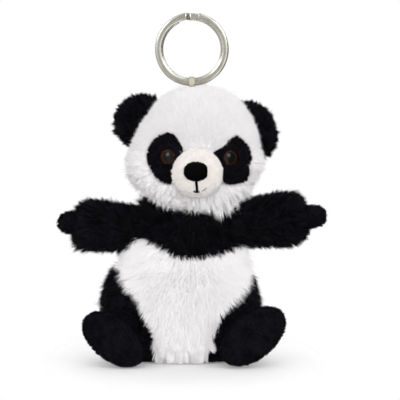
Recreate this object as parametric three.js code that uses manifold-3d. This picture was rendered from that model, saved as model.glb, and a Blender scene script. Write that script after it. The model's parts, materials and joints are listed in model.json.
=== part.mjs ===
// A sitting plush panda that hangs on a split key ring.
// Millimetres, +Z up. The panda faces -Y, and left and right are as seen from the front.
// The origin is on the floor, at the middle of the flat seat.
import * as THREE from "three";
import { mergeVertices } from "three/addons/utils/BufferGeometryUtils.js";
import Module from "manifold-3d";

const wasm = await Module();
wasm.setup();

// ---------------------------------------------------------------- driving dimensions

const GAP = 0.3; // between two pieces that touch
const RUNNING = 0.4; // between a limb and what it turns against
const PANEL = 2; // plush panel: backing cloth with its pile pressed flat

// Torso: a pear, wider than deep, whose chest leans a little to the right.
const SEAT_RADIUS = 21;
const BELLY_RADIUS = 31;
const BELLY_HEIGHT = 17;
const CHEST_RADIUS = 24.5;
const CHEST_HEIGHT = 43;
const SHOULDER_RADIUS = 17;
const SHOULDER_HEIGHT = 54;
const TORSO_HEIGHT = 58;
const TORSO_FLATTENING = 0.8; // depth over width
const CHEST_LEAN = 3.6;
const SEAT_THICKNESS = 2;
const POUCH_DEPTH = 9.5; // pellets in the seat
const YOKE_LOW = 43; // lowest point of the black band across the chest
const YOKE_CURVE = 55; // radius of the band's lower edge, seen from the front
const HIP_PATCH = { x: 17, z: 17, slope: 0.4545 }; // seam of the black hip, seen from the front

// Head: an egg, widest low down, split into a face and a back by the seam over the ears.
const HEAD_HALF_WIDTH = 27.5;
const HEAD_HALF_DEPTH = 24;
const CROWN = 29.7; // height above the widest level
const JAW = 19.5; // depth below the widest level
const HEAD_OFFSET = { x: 1.2, y: -2 }; // from the neck
const HEAD_LIFT = 1.5; // neck pivot to the bottom of the head
const HEAD_SEAM = 2.5; // seam behind the middle of the head
const NECK_RADIUS = 6;
const NECK_LIFT = 1; // neck pivot above the torso
const HEAD_TURN = [-20, 20];
const HEAD_NOD = [-10, 10];

// Face. Places are measured from the middle of the head, across and up.
const EYE_RADIUS = 4.6;
const EYE_DOME = 3.2;
const EYE_SHAFT_RADIUS = 1.25;
const EYE_SHAFT_LENGTH = 8;
const WASHER_RADIUS = 3.5;
const WASHER_THICKNESS = 1;
const WASHER_ROOM = 0.9; // behind the curved face
const PATCH_THICKNESS = 1;
const EYES = [
  {
    side: "left",
    across: -10.8,
    up: 3.2,
    patch: [
      [0.5, 9.4], [3.8, 5.6], [5.4, 2.5], [2.9, -0.2], [1.3, -4.1],
      [1.1, -9.9], [-3.9, -8.6], [-7.3, -2.8], [-7.7, 2.3], [-4.2, 7.5],
    ],
  },
  {
    side: "right",
    across: 14,
    up: 2.8,
    patch: [
      [2.3, 8.5], [7, 3.7], [8.1, -0.1], [7.2, -6.6], [5.6, -9.3],
      [-0.4, -9.8], [-2.3, -5.6], [-4.7, -0.5], [-6.2, 1.5], [-1, 5.5],
    ],
  },
];
const MUZZLE = { across: 0.8, up: -3.2, halfWidth: 10.6, halfDepth: 10.5, halfHeight: 9.8 };
const MUZZLE_REACH = 8; // how far the muzzle stands out of the face
const MUZZLE_WALL = 1.2;
const NOSE = { across: 0.4, up: -2.4, halfWidth: 4.9, halfDepth: 2.8, halfHeight: 3.8 };
const MOUTH = { top: -6.6, bottom: -10.6, thread: 0.5 };

// Ears: round cushions of two panels, seen face on.
const EAR_RADIUS = 10;
const EAR_HALF_THICKNESS = 3.6;
const EAR_DISH = { radius: 7, depth: 1.6 };
const EAR_FOLD = [-20, 20];
const EARS = [
  { side: "left", across: -23.3, up: 18 },
  { side: "right", across: 23.7, up: 13.7 },
];

// Arms: sleeves that widen towards the cuff, with a short paw. Distances run along the arm.
const ARM = { root: 7, upper: 7.6, cuff: 10.2, cuffAt: 18.5, sleeveEnd: 28.5, length: 37 };
const PAW = { radius: 4.7, from: 19 };
const ARM_FORWARD = 8; // degrees
const ARM_SWING = [-15, 30];
const ARM_RAISE = [-20, 12];
const SHOULDER_CORE = 5.4; // radius
const SHOULDER_OUT = 1; // pivot outside the torso
const ARMS = [
  { side: "left", sign: -1, rise: 3.5 },
  { side: "right", sign: 1, rise: 5.5 },
];

// Legs: short and stout, pointing forward, with oval soles that lean outward.
const HIP = { x: 21, z: 13.5 };
const LEG = { root: 9.5, thickness: 12, coverEnd: 21, soleCrown: 4 };
const SOLE = { halfLength: 14.5, halfWidth: 11, tilt: 38 };
const LEG_SPLAY = 15; // degrees outward
const LEG_DROP = 6.5; // degrees downward
const LEG_LIFT = [0, 18];

// Split ring and the ribbon that holds it.
const RING_RADIUS = 15;
const RING_BAND = 2.9;
const COIL_THICKNESS = 1.15;
const COIL_SPACING = 0.15;
const RING_START = -245; // degrees, where the back coil starts
const RING_CRANK = [90, 104]; // where the wire crosses from the back coil to the front one
const RING_END = 439;
const RIBBON_WIDTH = 2.3;
const RIBBON_THICKNESS = 0.7;
const LOOP_ACROSS = -1.3; // from the middle of the head
const LOOP_KNOT = 1.4; // radius of the sewn end

// ---------------------------------------------------------------- solids

const AROUND = 20; // facets round the head, torso and muzzle
const LIMB_AROUND = 16; // facets round an arm or leg
const RING_STEPS = 57; // facets along the ring's wire
const FAR = 400; // larger than the part

function toSolid(geometry) {
  const bare = geometry.clone();
  bare.deleteAttribute("normal");
  bare.deleteAttribute("uv");
  const merged = mergeVertices(bare, 1e-4);
  const corners = merged.index.array;
  const faces = [];
  for (let i = 0; i < corners.length; i += 3) {
    const [a, b, c] = corners.slice(i, i + 3);
    if (a !== b && b !== c && c !== a) faces.push(a, b, c);
  }
  return new wasm.Manifold(
    new wasm.Mesh({
      numProp: 3,
      vertProperties: merged.attributes.position.array,
      triVerts: Uint32Array.from(faces),
    }),
  );
}

function toGeometry(solid) {
  const { vertProperties, triVerts } = solid.getMesh();
  const geometry = new THREE.BufferGeometry();
  geometry.setAttribute("position", new THREE.BufferAttribute(vertProperties, 3));
  geometry.setIndex(new THREE.BufferAttribute(triVerts, 1));
  geometry.computeVertexNormals();
  return geometry;
}

const vector = (x, y, z) => new THREE.Vector3(x, y, z);

function moved(solid, matrix) {
  return toSolid(toGeometry(solid).applyMatrix4(matrix));
}

function largest(solid) {
  return solid.decompose().sort((a, b) => b.volume() - a.volume())[0];
}

function ellipsoid(centre, halfX, halfY, halfZ, around = AROUND, down = AROUND / 2) {
  const geometry = new THREE.SphereGeometry(1, around, down).rotateX(Math.PI / 2);
  return toSolid(geometry.scale(halfX, halfY, halfZ).translate(...centre));
}

const ball = (centre, radius) => ellipsoid(centre, radius, radius, radius, 14, 8);

// Everything on the side of a plane that its normal points to.
function halfSpace(point, normal) {
  const box = new THREE.BoxGeometry(FAR, FAR, FAR).translate(0, 0, FAR / 2);
  box.applyQuaternion(new THREE.Quaternion().setFromUnitVectors(vector(0, 0, 1), normal));
  return toSolid(box.translate(...point));
}

const above = (z) => halfSpace(vector(0, 0, z), vector(0, 0, 1));
const below = (z) => halfSpace(vector(0, 0, z), vector(0, 0, -1));
const inFrontOf = (y) => halfSpace(vector(0, y, 0), vector(0, -1, 0));
const behind = (y) => halfSpace(vector(0, y, 0), vector(0, 1, 0));

// A cylinder between two distances along a line.
function rod(point, direction, radius, from, to, sides = 12) {
  const geometry = new THREE.CylinderGeometry(radius, radius, to - from, sides);
  geometry.translate(0, (from + to) / 2, 0);
  geometry.applyQuaternion(new THREE.Quaternion().setFromUnitVectors(vector(0, 1, 0), direction));
  return toSolid(geometry.translate(...point));
}

// A smooth curve through [radius, height] points.
function profileCurve(points) {
  return new THREE.CatmullRomCurve3(points.map(([radius, height]) => vector(radius, height, 0)));
}

// That curve as an outline moved inwards by an inset. It starts and ends on the axis.
function profile(points, inset, count) {
  const curve = profileCurve(points);
  const outline = [];
  for (let i = 0; i <= count; i++) {
    const place = curve.getPoint(i / count);
    const along = curve.getTangent(i / count);
    outline.push(new THREE.Vector2(Math.max(place.x - inset * along.y, 0), place.y + inset * along.x));
  }
  outline[0].x = 0;
  outline[count].x = 0;
  return outline;
}

// A joint's turn about a point.
function turn(pivot, axis, degrees) {
  const back = new THREE.Matrix4().makeTranslation(-pivot.x, -pivot.y, -pivot.z);
  const rotation = new THREE.Matrix4().makeRotationAxis(axis, THREE.MathUtils.degToRad(degrees));
  return new THREE.Matrix4().makeTranslation(...pivot).multiply(rotation).multiply(back);
}

// Evenly spaced values from one end of a range to the other.
function spaced([low, high], count) {
  return Array.from({ length: count }, (_, i) => low + ((high - low) * i) / (count - 1));
}

// What a fixed neighbour sweeps, as the moving piece sees it, over one or two joints.
function swept(neighbour, pivot, outer, inner) {
  let sweep = neighbour;
  for (const a of spaced(outer.range, outer.count)) {
    for (const b of inner ? spaced(inner.range, inner.count) : [0]) {
      const pose = turn(pivot, outer.axis, a);
      if (inner) pose.multiply(turn(pivot, inner.axis, b));
      sweep = sweep.add(moved(neighbour, pose.invert()));
    }
  }
  return sweep;
}

const X = vector(1, 0, 0);
const Y = vector(0, 1, 0);
const Z = vector(0, 0, 1);

// ---------------------------------------------------------------- scene graph

const part = new THREE.Group();

// A body is a group at its joint. Its pieces are modelled in the part's frame and moved into it.
function body(parent, pivot) {
  const group = new THREE.Group();
  group.userData.pivot = pivot;
  group.position.copy(pivot).sub(parent.userData.pivot ?? vector(0, 0, 0));
  parent.add(group);
  return group;
}

function addPiece(group, name, solid, material) {
  const geometry = toGeometry(solid).translate(...group.userData.pivot.clone().negate());
  const mesh = new THREE.Mesh(geometry, material);
  mesh.name = name;
  group.add(mesh);
}

const cloth = (color) => new THREE.MeshStandardMaterial({ color, roughness: 0.95, metalness: 0 });
const whitePlush = cloth(0xf2f0ee);
const blackPlush = cloth(0x17171b);
const creamPlush = cloth(0xeee8dc);
const blackVelour = cloth(0x24232a);
const fibre = cloth(0xfafafa);
const pelletCloth = cloth(0xdcdcd6);
const thread = cloth(0x14110f);
const ribbon = cloth(0xe4dccb);
const eyePlastic = new THREE.MeshStandardMaterial({ color: 0x2b160c, roughness: 0.08, metalness: 0 });
const washerPlastic = new THREE.MeshStandardMaterial({ color: 0xe8e8e4, roughness: 0.5, metalness: 0 });
const nickel = new THREE.MeshStandardMaterial({ color: 0xc9c5bd, roughness: 0.25, metalness: 1 });

// ---------------------------------------------------------------- torso

const torsoPoints = [
  [SEAT_RADIUS, 0],
  [(SEAT_RADIUS + 2 * BELLY_RADIUS) / 3, BELLY_HEIGHT * 0.25],
  [BELLY_RADIUS, BELLY_HEIGHT],
  [(2 * BELLY_RADIUS + CHEST_RADIUS) / 3, (BELLY_HEIGHT + CHEST_HEIGHT) / 2],
  [CHEST_RADIUS, CHEST_HEIGHT],
  [SHOULDER_RADIUS, SHOULDER_HEIGHT],
  [SHOULDER_RADIUS / 2, TORSO_HEIGHT],
];

const lean = (z) => CHEST_LEAN * THREE.MathUtils.smoothstep(z, 0, SHOULDER_HEIGHT);

function torsoSolid(inset) {
  const side = profile(torsoPoints, inset, 10);
  side.at(0).x = SEAT_RADIUS - inset;
  side.at(-1).x = SHOULDER_RADIUS / 2;
  const floor = new THREE.Vector2(0, side.at(0).y);
  const roof = new THREE.Vector2(0, side.at(-1).y);
  const geometry = new THREE.LatheGeometry([floor, ...side, roof], AROUND).rotateX(Math.PI / 2);
  geometry.scale(1, TORSO_FLATTENING, 1);
  const corners = geometry.attributes.position;
  for (let i = 0; i < corners.count; i++) corners.setX(i, corners.getX(i) + lean(corners.getZ(i)));
  return toSolid(geometry);
}

// Half the torso's width at a height.
function torsoRadius(z) {
  const places = profileCurve(torsoPoints).getPoints(200);
  return places.reduce((best, place) => (Math.abs(place.y - z) < Math.abs(best.y - z) ? place : best)).x;
}

const root = vector(0, 0, 0);
const neckPivot = vector(CHEST_LEAN, 0, TORSO_HEIGHT + NECK_LIFT);
const shoulderPivots = ARMS.map(({ sign }) =>
  vector(CHEST_LEAN + sign * (torsoRadius(SHOULDER_HEIGHT) + SHOULDER_OUT), 0, SHOULDER_HEIGHT),
);

function makeTorso() {
  const torso = body(part, root);
  const outer = torsoSolid(0);
  const sockets = [
    ball(neckPivot, NECK_RADIUS + RUNNING),
    ...shoulderPivots.map((pivot) => ball(pivot, SHOULDER_CORE + RUNNING)),
  ];
  const cutSockets = (solid) => sockets.reduce((left, socket) => left.subtract(socket), solid);
  const wall = cutSockets(outer.subtract(torsoSolid(PANEL)).intersect(above(SEAT_THICKNESS + GAP)));
  const filling = torsoSolid(PANEL + GAP);

  const bandCentre = vector(CHEST_LEAN, 0, YOKE_LOW + YOKE_CURVE);
  const band = (radius) => rod(bandCentre, Y, radius, -FAR / 2, FAR / 2, 60);
  addPiece(torso, "chest_yoke", wall.intersect(band(YOKE_CURVE - GAP / 2)), blackPlush);

  const lower = wall.subtract(band(YOKE_CURVE + GAP / 2));
  const hipSide = (sign, shift) => {
    const outward = vector(sign, 0, -HIP_PATCH.slope).normalize();
    return halfSpace(vector(sign * (HIP_PATCH.x + shift), 0, HIP_PATCH.z), outward);
  };
  const white = lower.subtract(hipSide(-1, -GAP / 2)).subtract(hipSide(1, -GAP / 2));
  addPiece(torso, "belly_panel", largest(white.intersect(inFrontOf(-GAP / 2))), whitePlush);
  addPiece(torso, "back_panel", largest(white.intersect(behind(GAP / 2))), whitePlush);
  addPiece(torso, "hip_panel_left", largest(lower.intersect(hipSide(-1, GAP / 2))), blackPlush);
  addPiece(torso, "hip_panel_right", largest(lower.intersect(hipSide(1, GAP / 2))), blackPlush);

  addPiece(torso, "seat_panel", outer.intersect(below(SEAT_THICKNESS)), blackVelour);
  const pouchTop = SEAT_THICKNESS + GAP + POUCH_DEPTH;
  const inside = filling.intersect(above(SEAT_THICKNESS + GAP));
  addPiece(torso, "pellet_pouch", inside.intersect(below(pouchTop)), pelletCloth);
  addPiece(torso, "body_stuffing", cutSockets(inside.intersect(above(pouchTop + GAP))), fibre);
  return torso;
}

// ---------------------------------------------------------------- head

const headCentre = vector(
  neckPivot.x + HEAD_OFFSET.x,
  neckPivot.y + HEAD_OFFSET.y,
  neckPivot.z + HEAD_LIFT + JAW,
);
const headTop = headCentre.z + CROWN;
const seamY = headCentre.y + HEAD_SEAM;

function headSolid(inset) {
  const geometry = new THREE.SphereGeometry(1, AROUND, 14).rotateX(Math.PI / 2);
  const corners = geometry.attributes.position;
  for (let i = 0; i < corners.count; i++) {
    const height = corners.getZ(i) > 0 ? CROWN : JAW;
    corners.setXYZ(
      i,
      corners.getX(i) * (HEAD_HALF_WIDTH - inset),
      corners.getY(i) * (HEAD_HALF_DEPTH - inset),
      corners.getZ(i) * (height - inset),
    );
  }
  return toSolid(geometry.translate(...headCentre));
}

// The point on the face at a place across and up from the middle, and the way out of the face there.
function onFace(across, up) {
  const height = up > 0 ? CROWN : JAW;
  const out = Math.sqrt(1 - (across / HEAD_HALF_WIDTH) ** 2 - (up / height) ** 2);
  const point = vector(across, -HEAD_HALF_DEPTH * out, up);
  const outward = vector(
    point.x / HEAD_HALF_WIDTH ** 2,
    point.y / HEAD_HALF_DEPTH ** 2,
    point.z / height ** 2,
  ).normalize();
  return { point: point.add(headCentre), outward };
}

const muzzleCentre = onFace(MUZZLE.across, MUZZLE.up).point.setZ(headCentre.z + MUZZLE.up);
muzzleCentre.y += MUZZLE.halfDepth - MUZZLE_REACH;

function muzzleSolid(inset, around = AROUND) {
  const { halfWidth, halfDepth, halfHeight } = MUZZLE;
  const sizes = [halfWidth - inset, halfDepth - inset, halfHeight - inset];
  return ellipsoid(muzzleCentre, ...sizes, around, around / 2);
}

// How far forward the muzzle reaches at a place measured from the middle of the head.
function muzzleFront(across, up) {
  const x = (across - MUZZLE.across) / MUZZLE.halfWidth;
  const z = (up - MUZZLE.up) / MUZZLE.halfHeight;
  return muzzleCentre.y - MUZZLE.halfDepth * Math.sqrt(1 - x * x - z * z);
}

const loopPivot = vector(headCentre.x + LOOP_ACROSS, seamY, headTop - GAP);

function makeHead(neck) {
  const head = body(neck, neckPivot);
  const torsoSweep = swept(
    torsoSolid(-RUNNING),
    neckPivot,
    { axis: Z, range: HEAD_TURN, count: 3 },
    { axis: X, range: HEAD_NOD, count: 3 },
  );
  const neckSocket = ball(neckPivot, NECK_RADIUS + RUNNING);
  const loopSocket = ball(loopPivot, LOOP_KNOT + RUNNING);
  const clear = (solid) => solid.subtract(torsoSweep).subtract(neckSocket).subtract(loopSocket);

  let wall = clear(headSolid(0).subtract(headSolid(PANEL)));
  let stuffing = clear(headSolid(PANEL + GAP));
  const muzzleRoom = muzzleSolid(-GAP);
  const patchSkin = headSolid(-GAP - PATCH_THICKNESS).subtract(headSolid(-GAP));

  for (const eye of EYES) {
    const { point, outward } = onFace(eye.across, eye.up);
    const hole = rod(point, outward, EYE_SHAFT_RADIUS + GAP, -EYE_SHAFT_LENGTH, EYE_SHAFT_LENGTH);
    const outline = new THREE.Shape(
      new THREE.SplineCurve(
        [...eye.patch, eye.patch[0]].map(([x, z]) => new THREE.Vector2(x, z)),
      ).getPoints(20),
    );
    const prism = new THREE.ExtrudeGeometry(outline, { depth: HEAD_HALF_DEPTH * 1.5, bevelEnabled: false });
    prism.rotateX(Math.PI / 2).translate(point.x, headCentre.y, point.z);
    const patch = patchSkin.intersect(toSolid(prism)).subtract(muzzleRoom).subtract(hole);
    addPiece(head, `eye_patch_${eye.side}`, largest(patch), blackVelour);

    const seat = GAP + PATCH_THICKNESS + GAP;
    const dome = ellipsoid(root, EYE_RADIUS, EYE_RADIUS, EYE_DOME, 16, 10).intersect(above(0));
    const toOutward = new THREE.Quaternion().setFromUnitVectors(Z, outward);
    const place = point.clone().addScaledVector(outward, seat);
    const placed = moved(dome, new THREE.Matrix4().compose(place, toOutward, vector(1, 1, 1)));
    const shaft = rod(point, outward, EYE_SHAFT_RADIUS, seat - EYE_SHAFT_LENGTH, seat + EYE_DOME / 2);
    addPiece(head, `eye_${eye.side}`, placed.add(shaft), eyePlastic);

    const washerFront = -PANEL - WASHER_ROOM;
    const washerBack = washerFront - WASHER_THICKNESS;
    const washer = rod(point, outward, WASHER_RADIUS, washerBack, washerFront, 16).subtract(hole);
    addPiece(head, `eye_washer_${eye.side}`, washer, washerPlastic);
    wall = wall.subtract(hole);
    stuffing = stuffing
      .subtract(rod(point, outward, WASHER_RADIUS + GAP, washerBack - GAP, EYE_SHAFT_LENGTH, 16))
      .subtract(rod(point, outward, EYE_SHAFT_RADIUS + GAP, seat - EYE_SHAFT_LENGTH - GAP, 0));
  }
  addPiece(head, "face_panel", largest(wall.intersect(inFrontOf(seamY - GAP / 2))), whitePlush);
  addPiece(head, "head_back_panel", largest(wall.intersect(behind(seamY + GAP / 2))), whitePlush);
  addPiece(head, "head_stuffing", largest(stuffing), fibre);
  makeMuzzle(head);
  return head;
}

function makeMuzzle(head) {
  const faceRoom = headSolid(-GAP);
  const cover = muzzleSolid(0).subtract(muzzleSolid(MUZZLE_WALL)).subtract(faceRoom);
  addPiece(head, "muzzle_cover", largest(cover.intersect(inFrontOf(muzzleCentre.y))), creamPlush);
  const filling = muzzleSolid(MUZZLE_WALL + GAP, 16).subtract(faceRoom);
  addPiece(head, "muzzle_stuffing", largest(filling.intersect(inFrontOf(muzzleCentre.y))), fibre);

  const noseCentre = vector(
    headCentre.x + NOSE.across,
    muzzleFront(NOSE.across, NOSE.up) + GAP,
    headCentre.z + NOSE.up,
  );
  const nose = ellipsoid(noseCentre, NOSE.halfWidth, NOSE.halfDepth, NOSE.halfHeight, 14, 8);
  addPiece(head, "nose", largest(nose.subtract(muzzleSolid(-GAP))), thread);

  const stand = GAP + MOUTH.thread;
  const stitch = spaced([MOUTH.top, MOUTH.bottom], 5).map((up) =>
    vector(headCentre.x + NOSE.across, muzzleFront(NOSE.across, up) - stand, headCentre.z + up),
  );
  const section = new THREE.Shape().absarc(0, 0, MOUTH.thread, 0, 2 * Math.PI);
  const geometry = new THREE.ExtrudeGeometry(section, {
    steps: 8,
    curveSegments: 4,
    extrudePath: new THREE.CatmullRomCurve3(stitch),
    bevelEnabled: false,
  });
  addPiece(head, "mouth_stitch", toSolid(geometry), thread);
}

function makeEar(head, { side, across, up }) {
  const reach = Math.hypot(across / HEAD_HALF_WIDTH, up / CROWN);
  const centre = vector(headCentre.x + across, seamY, headCentre.z + up);
  const pivot = vector(headCentre.x + across / reach, seamY, headCentre.z + up / reach);
  const outward = vector(across / HEAD_HALF_WIDTH ** 2, 0, up / CROWN ** 2).normalize();
  const axis = outward.clone().cross(Y);
  const ear = body(head, pivot);
  const sweep = swept(headSolid(-RUNNING), pivot, { axis, range: EAR_FOLD, count: 3 });
  const cushion = ellipsoid(centre, EAR_RADIUS, EAR_HALF_THICKNESS, EAR_RADIUS, 18, 10).subtract(sweep);
  const dishCentre = centre.clone().addScaledVector(Y, -EAR_HALF_THICKNESS);
  const dish = ellipsoid(dishCentre, EAR_DISH.radius, EAR_DISH.depth, EAR_DISH.radius, 14, 8);
  const front = cushion.intersect(inFrontOf(seamY - GAP / 2)).subtract(dish);
  addPiece(ear, `ear_front_${side}`, largest(front), blackPlush);
  addPiece(ear, `ear_back_${side}`, largest(cushion.intersect(behind(seamY + GAP / 2))), blackPlush);
}

// ---------------------------------------------------------------- arms

// A solid of revolution along a direction, with oval sections where the scales differ.
function revolved(points, inset, count, place, direction, roll = 0, wide = 1, high = 1) {
  const geometry = new THREE.LatheGeometry(profile(points, inset, count), LIMB_AROUND);
  geometry.rotateX(Math.PI / 2).scale(wide, high, 1).rotateZ(roll);
  const facing = new THREE.Matrix4().lookAt(direction, root, Z);
  return toSolid(geometry.applyMatrix4(facing).translate(...place));
}

function makeArm(torso, { side, sign, rise }, pivot) {
  const shoulder = body(torso, pivot);
  const arm = body(shoulder, pivot);
  addPiece(shoulder, `shoulder_core_${side}`, ball(pivot, SHOULDER_CORE), fibre);

  const forward = THREE.MathUtils.degToRad(ARM_FORWARD);
  const up = THREE.MathUtils.degToRad(rise);
  const along = vector(
    sign * Math.cos(forward) * Math.cos(up),
    -Math.sin(forward) * Math.cos(up),
    Math.sin(up),
  );
  const sleevePoints = [
    [0, 0],
    [ARM.root, 0.5],
    [ARM.upper, ARM.cuffAt / 3],
    [ARM.cuff, ARM.cuffAt],
    [(ARM.cuff + PAW.radius) / 2, ARM.sleeveEnd - 2],
    [0, ARM.sleeveEnd],
  ];
  const pawPoints = [
    [0, PAW.from],
    [PAW.radius, PAW.from + 1],
    [PAW.radius, (PAW.from + ARM.length) / 2],
    [PAW.radius * 0.8, ARM.length - 2],
    [0, ARM.length],
  ];
  const sweep = swept(
    torsoSolid(-RUNNING),
    pivot,
    { axis: vector(0, 0, -sign), range: ARM_SWING, count: 4 },
    { axis: vector(0, -sign, 0), range: ARM_RAISE, count: 3 },
  );
  const socket = ball(pivot, SHOULDER_CORE + RUNNING);
  const clear = (solid) => largest(solid.subtract(sweep).subtract(socket));
  const sleeve = revolved(sleevePoints, 0, 9, pivot, along);
  const inner = revolved(sleevePoints, PANEL, 9, pivot, along);
  const paw = revolved(pawPoints, 0, 8, pivot, along);
  const pawRoom = revolved(pawPoints, -GAP, 8, pivot, along);
  const stuffing = revolved(sleevePoints, PANEL + GAP, 9, pivot, along);
  addPiece(arm, `arm_sleeve_${side}`, clear(sleeve.subtract(inner).subtract(pawRoom)), blackPlush);
  addPiece(arm, `arm_paw_${side}`, paw, blackVelour);
  addPiece(arm, `arm_stuffing_${side}`, clear(stuffing.subtract(pawRoom)), fibre);
}

// ---------------------------------------------------------------- legs

function makeLeg(torso, side, sign) {
  const reach = Math.sqrt(torsoRadius(HIP.z) ** 2 - (HIP.x - sign * lean(HIP.z)) ** 2);
  const pivot = vector(sign * HIP.x, -TORSO_FLATTENING * reach, HIP.z);
  const leg = body(torso, pivot);
  const splay = THREE.MathUtils.degToRad(LEG_SPLAY);
  const drop = THREE.MathUtils.degToRad(LEG_DROP);
  const along = vector(
    sign * Math.sin(splay) * Math.cos(drop),
    -Math.cos(splay) * Math.cos(drop),
    -Math.sin(drop),
  );
  const thighPoints = [
    [0, -LEG.root / 2],
    [LEG.root, 0],
    [LEG.thickness, LEG.coverEnd / 2],
    [LEG.thickness, LEG.coverEnd],
    [0, LEG.coverEnd + LEG.thickness],
  ];
  const solePoints = [
    [0, LEG.coverEnd - LEG.thickness],
    [LEG.thickness, LEG.coverEnd - 2],
    [LEG.thickness, LEG.coverEnd + 1],
    [LEG.thickness * 0.8, LEG.coverEnd + LEG.soleCrown * 0.8],
    [0, LEG.coverEnd + LEG.soleCrown],
  ];
  const roll = sign * THREE.MathUtils.degToRad(SOLE.tilt);
  const oval = [roll, SOLE.halfLength / LEG.thickness, SOLE.halfWidth / LEG.thickness];
  const shape = (points, inset, count) => revolved(points, inset, count, pivot, along, ...oval);
  const split = (distance, way) =>
    halfSpace(pivot.clone().addScaledVector(along, distance), along.clone().multiplyScalar(way));
  const sweep = swept(torsoSolid(-RUNNING), pivot, { axis: vector(-1, 0, 0), range: LEG_LIFT, count: 3 });
  const clear = (solid) => largest(solid.subtract(sweep).intersect(above(0)));

  const thigh = shape(thighPoints, 0, 8).subtract(shape(thighPoints, PANEL, 8));
  addPiece(leg, `thigh_cover_${side}`, clear(thigh.intersect(split(LEG.coverEnd, -1))), blackPlush);
  const sole = shape(solePoints, 0, 8).intersect(split(LEG.coverEnd + GAP, 1));
  addPiece(leg, `foot_sole_${side}`, clear(sole), blackVelour);
  const filling = shape(thighPoints, PANEL + GAP, 8).intersect(above(PANEL));
  addPiece(leg, `leg_stuffing_${side}`, clear(filling.intersect(split(LEG.coverEnd, -1))), fibre);
}

// ---------------------------------------------------------------- ring and loop

class CoilCurve extends THREE.Curve {
  getPoint(share, target = vector(0, 0, 0)) {
    const degrees = THREE.MathUtils.lerp(RING_START, RING_END, share);
    const angle = THREE.MathUtils.degToRad(degrees);
    const across = 0.5 - THREE.MathUtils.smoothstep(degrees, ...RING_CRANK);
    const middle = RING_RADIUS - RING_BAND / 2;
    return target.set(
      middle * Math.cos(angle),
      across * (COIL_THICKNESS + COIL_SPACING),
      middle * Math.sin(angle),
    );
  }
}

function makeLoopAndRing(head) {
  const loop = body(head, loopPivot);
  const wireHalf = Math.hypot(RING_BAND / 2, COIL_THICKNESS + COIL_SPACING / 2);
  const innerRadius = wireHalf + GAP;
  const outerRadius = innerRadius + RIBBON_THICKNESS;
  const wire = loopPivot.clone().addScaledVector(Z, LOOP_KNOT / 2 + outerRadius);
  const tube = rod(wire, X, outerRadius, -RIBBON_WIDTH / 2, RIBBON_WIDTH / 2, 20);
  const hole = rod(wire, X, innerRadius, -RIBBON_WIDTH, RIBBON_WIDTH, 20);
  addPiece(loop, "ribbon_loop", tube.add(ball(loopPivot, LOOP_KNOT)).subtract(hole), ribbon);

  const ring = body(loop, wire);
  const half = { x: RING_BAND / 2, y: COIL_THICKNESS / 2, edge: COIL_THICKNESS / 4 };
  const section = new THREE.Shape([
    new THREE.Vector2(half.y, half.x - half.edge),
    new THREE.Vector2(half.y - half.edge, half.x),
    new THREE.Vector2(half.edge - half.y, half.x),
    new THREE.Vector2(-half.y, half.x - half.edge),
    new THREE.Vector2(-half.y, half.edge - half.x),
    new THREE.Vector2(half.edge - half.y, -half.x),
    new THREE.Vector2(half.y - half.edge, -half.x),
    new THREE.Vector2(half.y, half.edge - half.x),
  ]);
  const coil = new THREE.ExtrudeGeometry(section, {
    steps: RING_STEPS,
    extrudePath: new CoilCurve(),
    bevelEnabled: false,
  });
  coil.translate(wire.x, wire.y, wire.z + RING_RADIUS - RING_BAND / 2);
  addPiece(ring, "split_ring", toSolid(coil), nickel);
}

// ---------------------------------------------------------------- assembly

const torso = makeTorso();
const neck = body(torso, neckPivot);
addPiece(neck, "neck_core", ball(neckPivot, NECK_RADIUS), fibre);
const head = makeHead(neck);
EARS.forEach((ear) => makeEar(head, ear));
makeLoopAndRing(head);
ARMS.forEach((arm, i) => makeArm(torso, arm, shoulderPivots[i]));
makeLeg(torso, "left", -1);
makeLeg(torso, "right", 1);

export default part;
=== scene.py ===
import json
import math

import bpy
import numpy as np
from mathutils import Matrix, Vector


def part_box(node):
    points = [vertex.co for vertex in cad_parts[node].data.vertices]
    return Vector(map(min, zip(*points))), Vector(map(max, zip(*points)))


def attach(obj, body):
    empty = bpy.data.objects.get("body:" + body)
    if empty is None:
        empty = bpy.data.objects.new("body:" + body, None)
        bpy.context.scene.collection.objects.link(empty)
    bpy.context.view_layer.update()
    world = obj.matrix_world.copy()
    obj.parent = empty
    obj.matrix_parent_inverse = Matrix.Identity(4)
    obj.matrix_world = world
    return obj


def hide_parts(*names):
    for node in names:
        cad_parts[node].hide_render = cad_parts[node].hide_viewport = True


# Looks of a sitting plush panda on a split key ring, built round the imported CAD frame.
# Shapes are worked out in millimetres and made into objects in metres, in the part's frame:
# +Z up, the panda faces -Y, left is -X. Every stuffed body has a filling, its sewn cloth panels
# and, rooted in them, a pile of separate closed strands.

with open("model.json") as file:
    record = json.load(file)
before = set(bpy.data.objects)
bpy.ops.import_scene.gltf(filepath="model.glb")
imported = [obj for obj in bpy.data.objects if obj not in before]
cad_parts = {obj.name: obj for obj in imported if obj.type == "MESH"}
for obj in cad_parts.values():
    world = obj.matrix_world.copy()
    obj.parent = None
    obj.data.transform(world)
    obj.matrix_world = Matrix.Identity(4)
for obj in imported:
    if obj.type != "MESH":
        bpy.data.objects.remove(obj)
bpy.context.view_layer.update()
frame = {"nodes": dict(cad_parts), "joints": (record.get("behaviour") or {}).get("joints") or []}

MM = 0.001
X, Y, Z = np.eye(3)
SIGN = {"left": -1, "right": 1}  # of each side along X
SIDE_SEED = {"left": 4, "right": 5}  # added to the seeds of what comes in pairs


def unit(vectors):
    return vectors / np.maximum(np.linalg.norm(vectors, axis=-1, keepdims=True), 1e-12)


def hill(values, middle, width):
    """1 at the middle, falling to nothing at both sides."""
    return np.exp(-((values - middle) / width) ** 2)


def smooth_step(share):
    return share * share * (3 - 2 * share)


# ---------------------------------------------------------------- places from the frame

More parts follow.
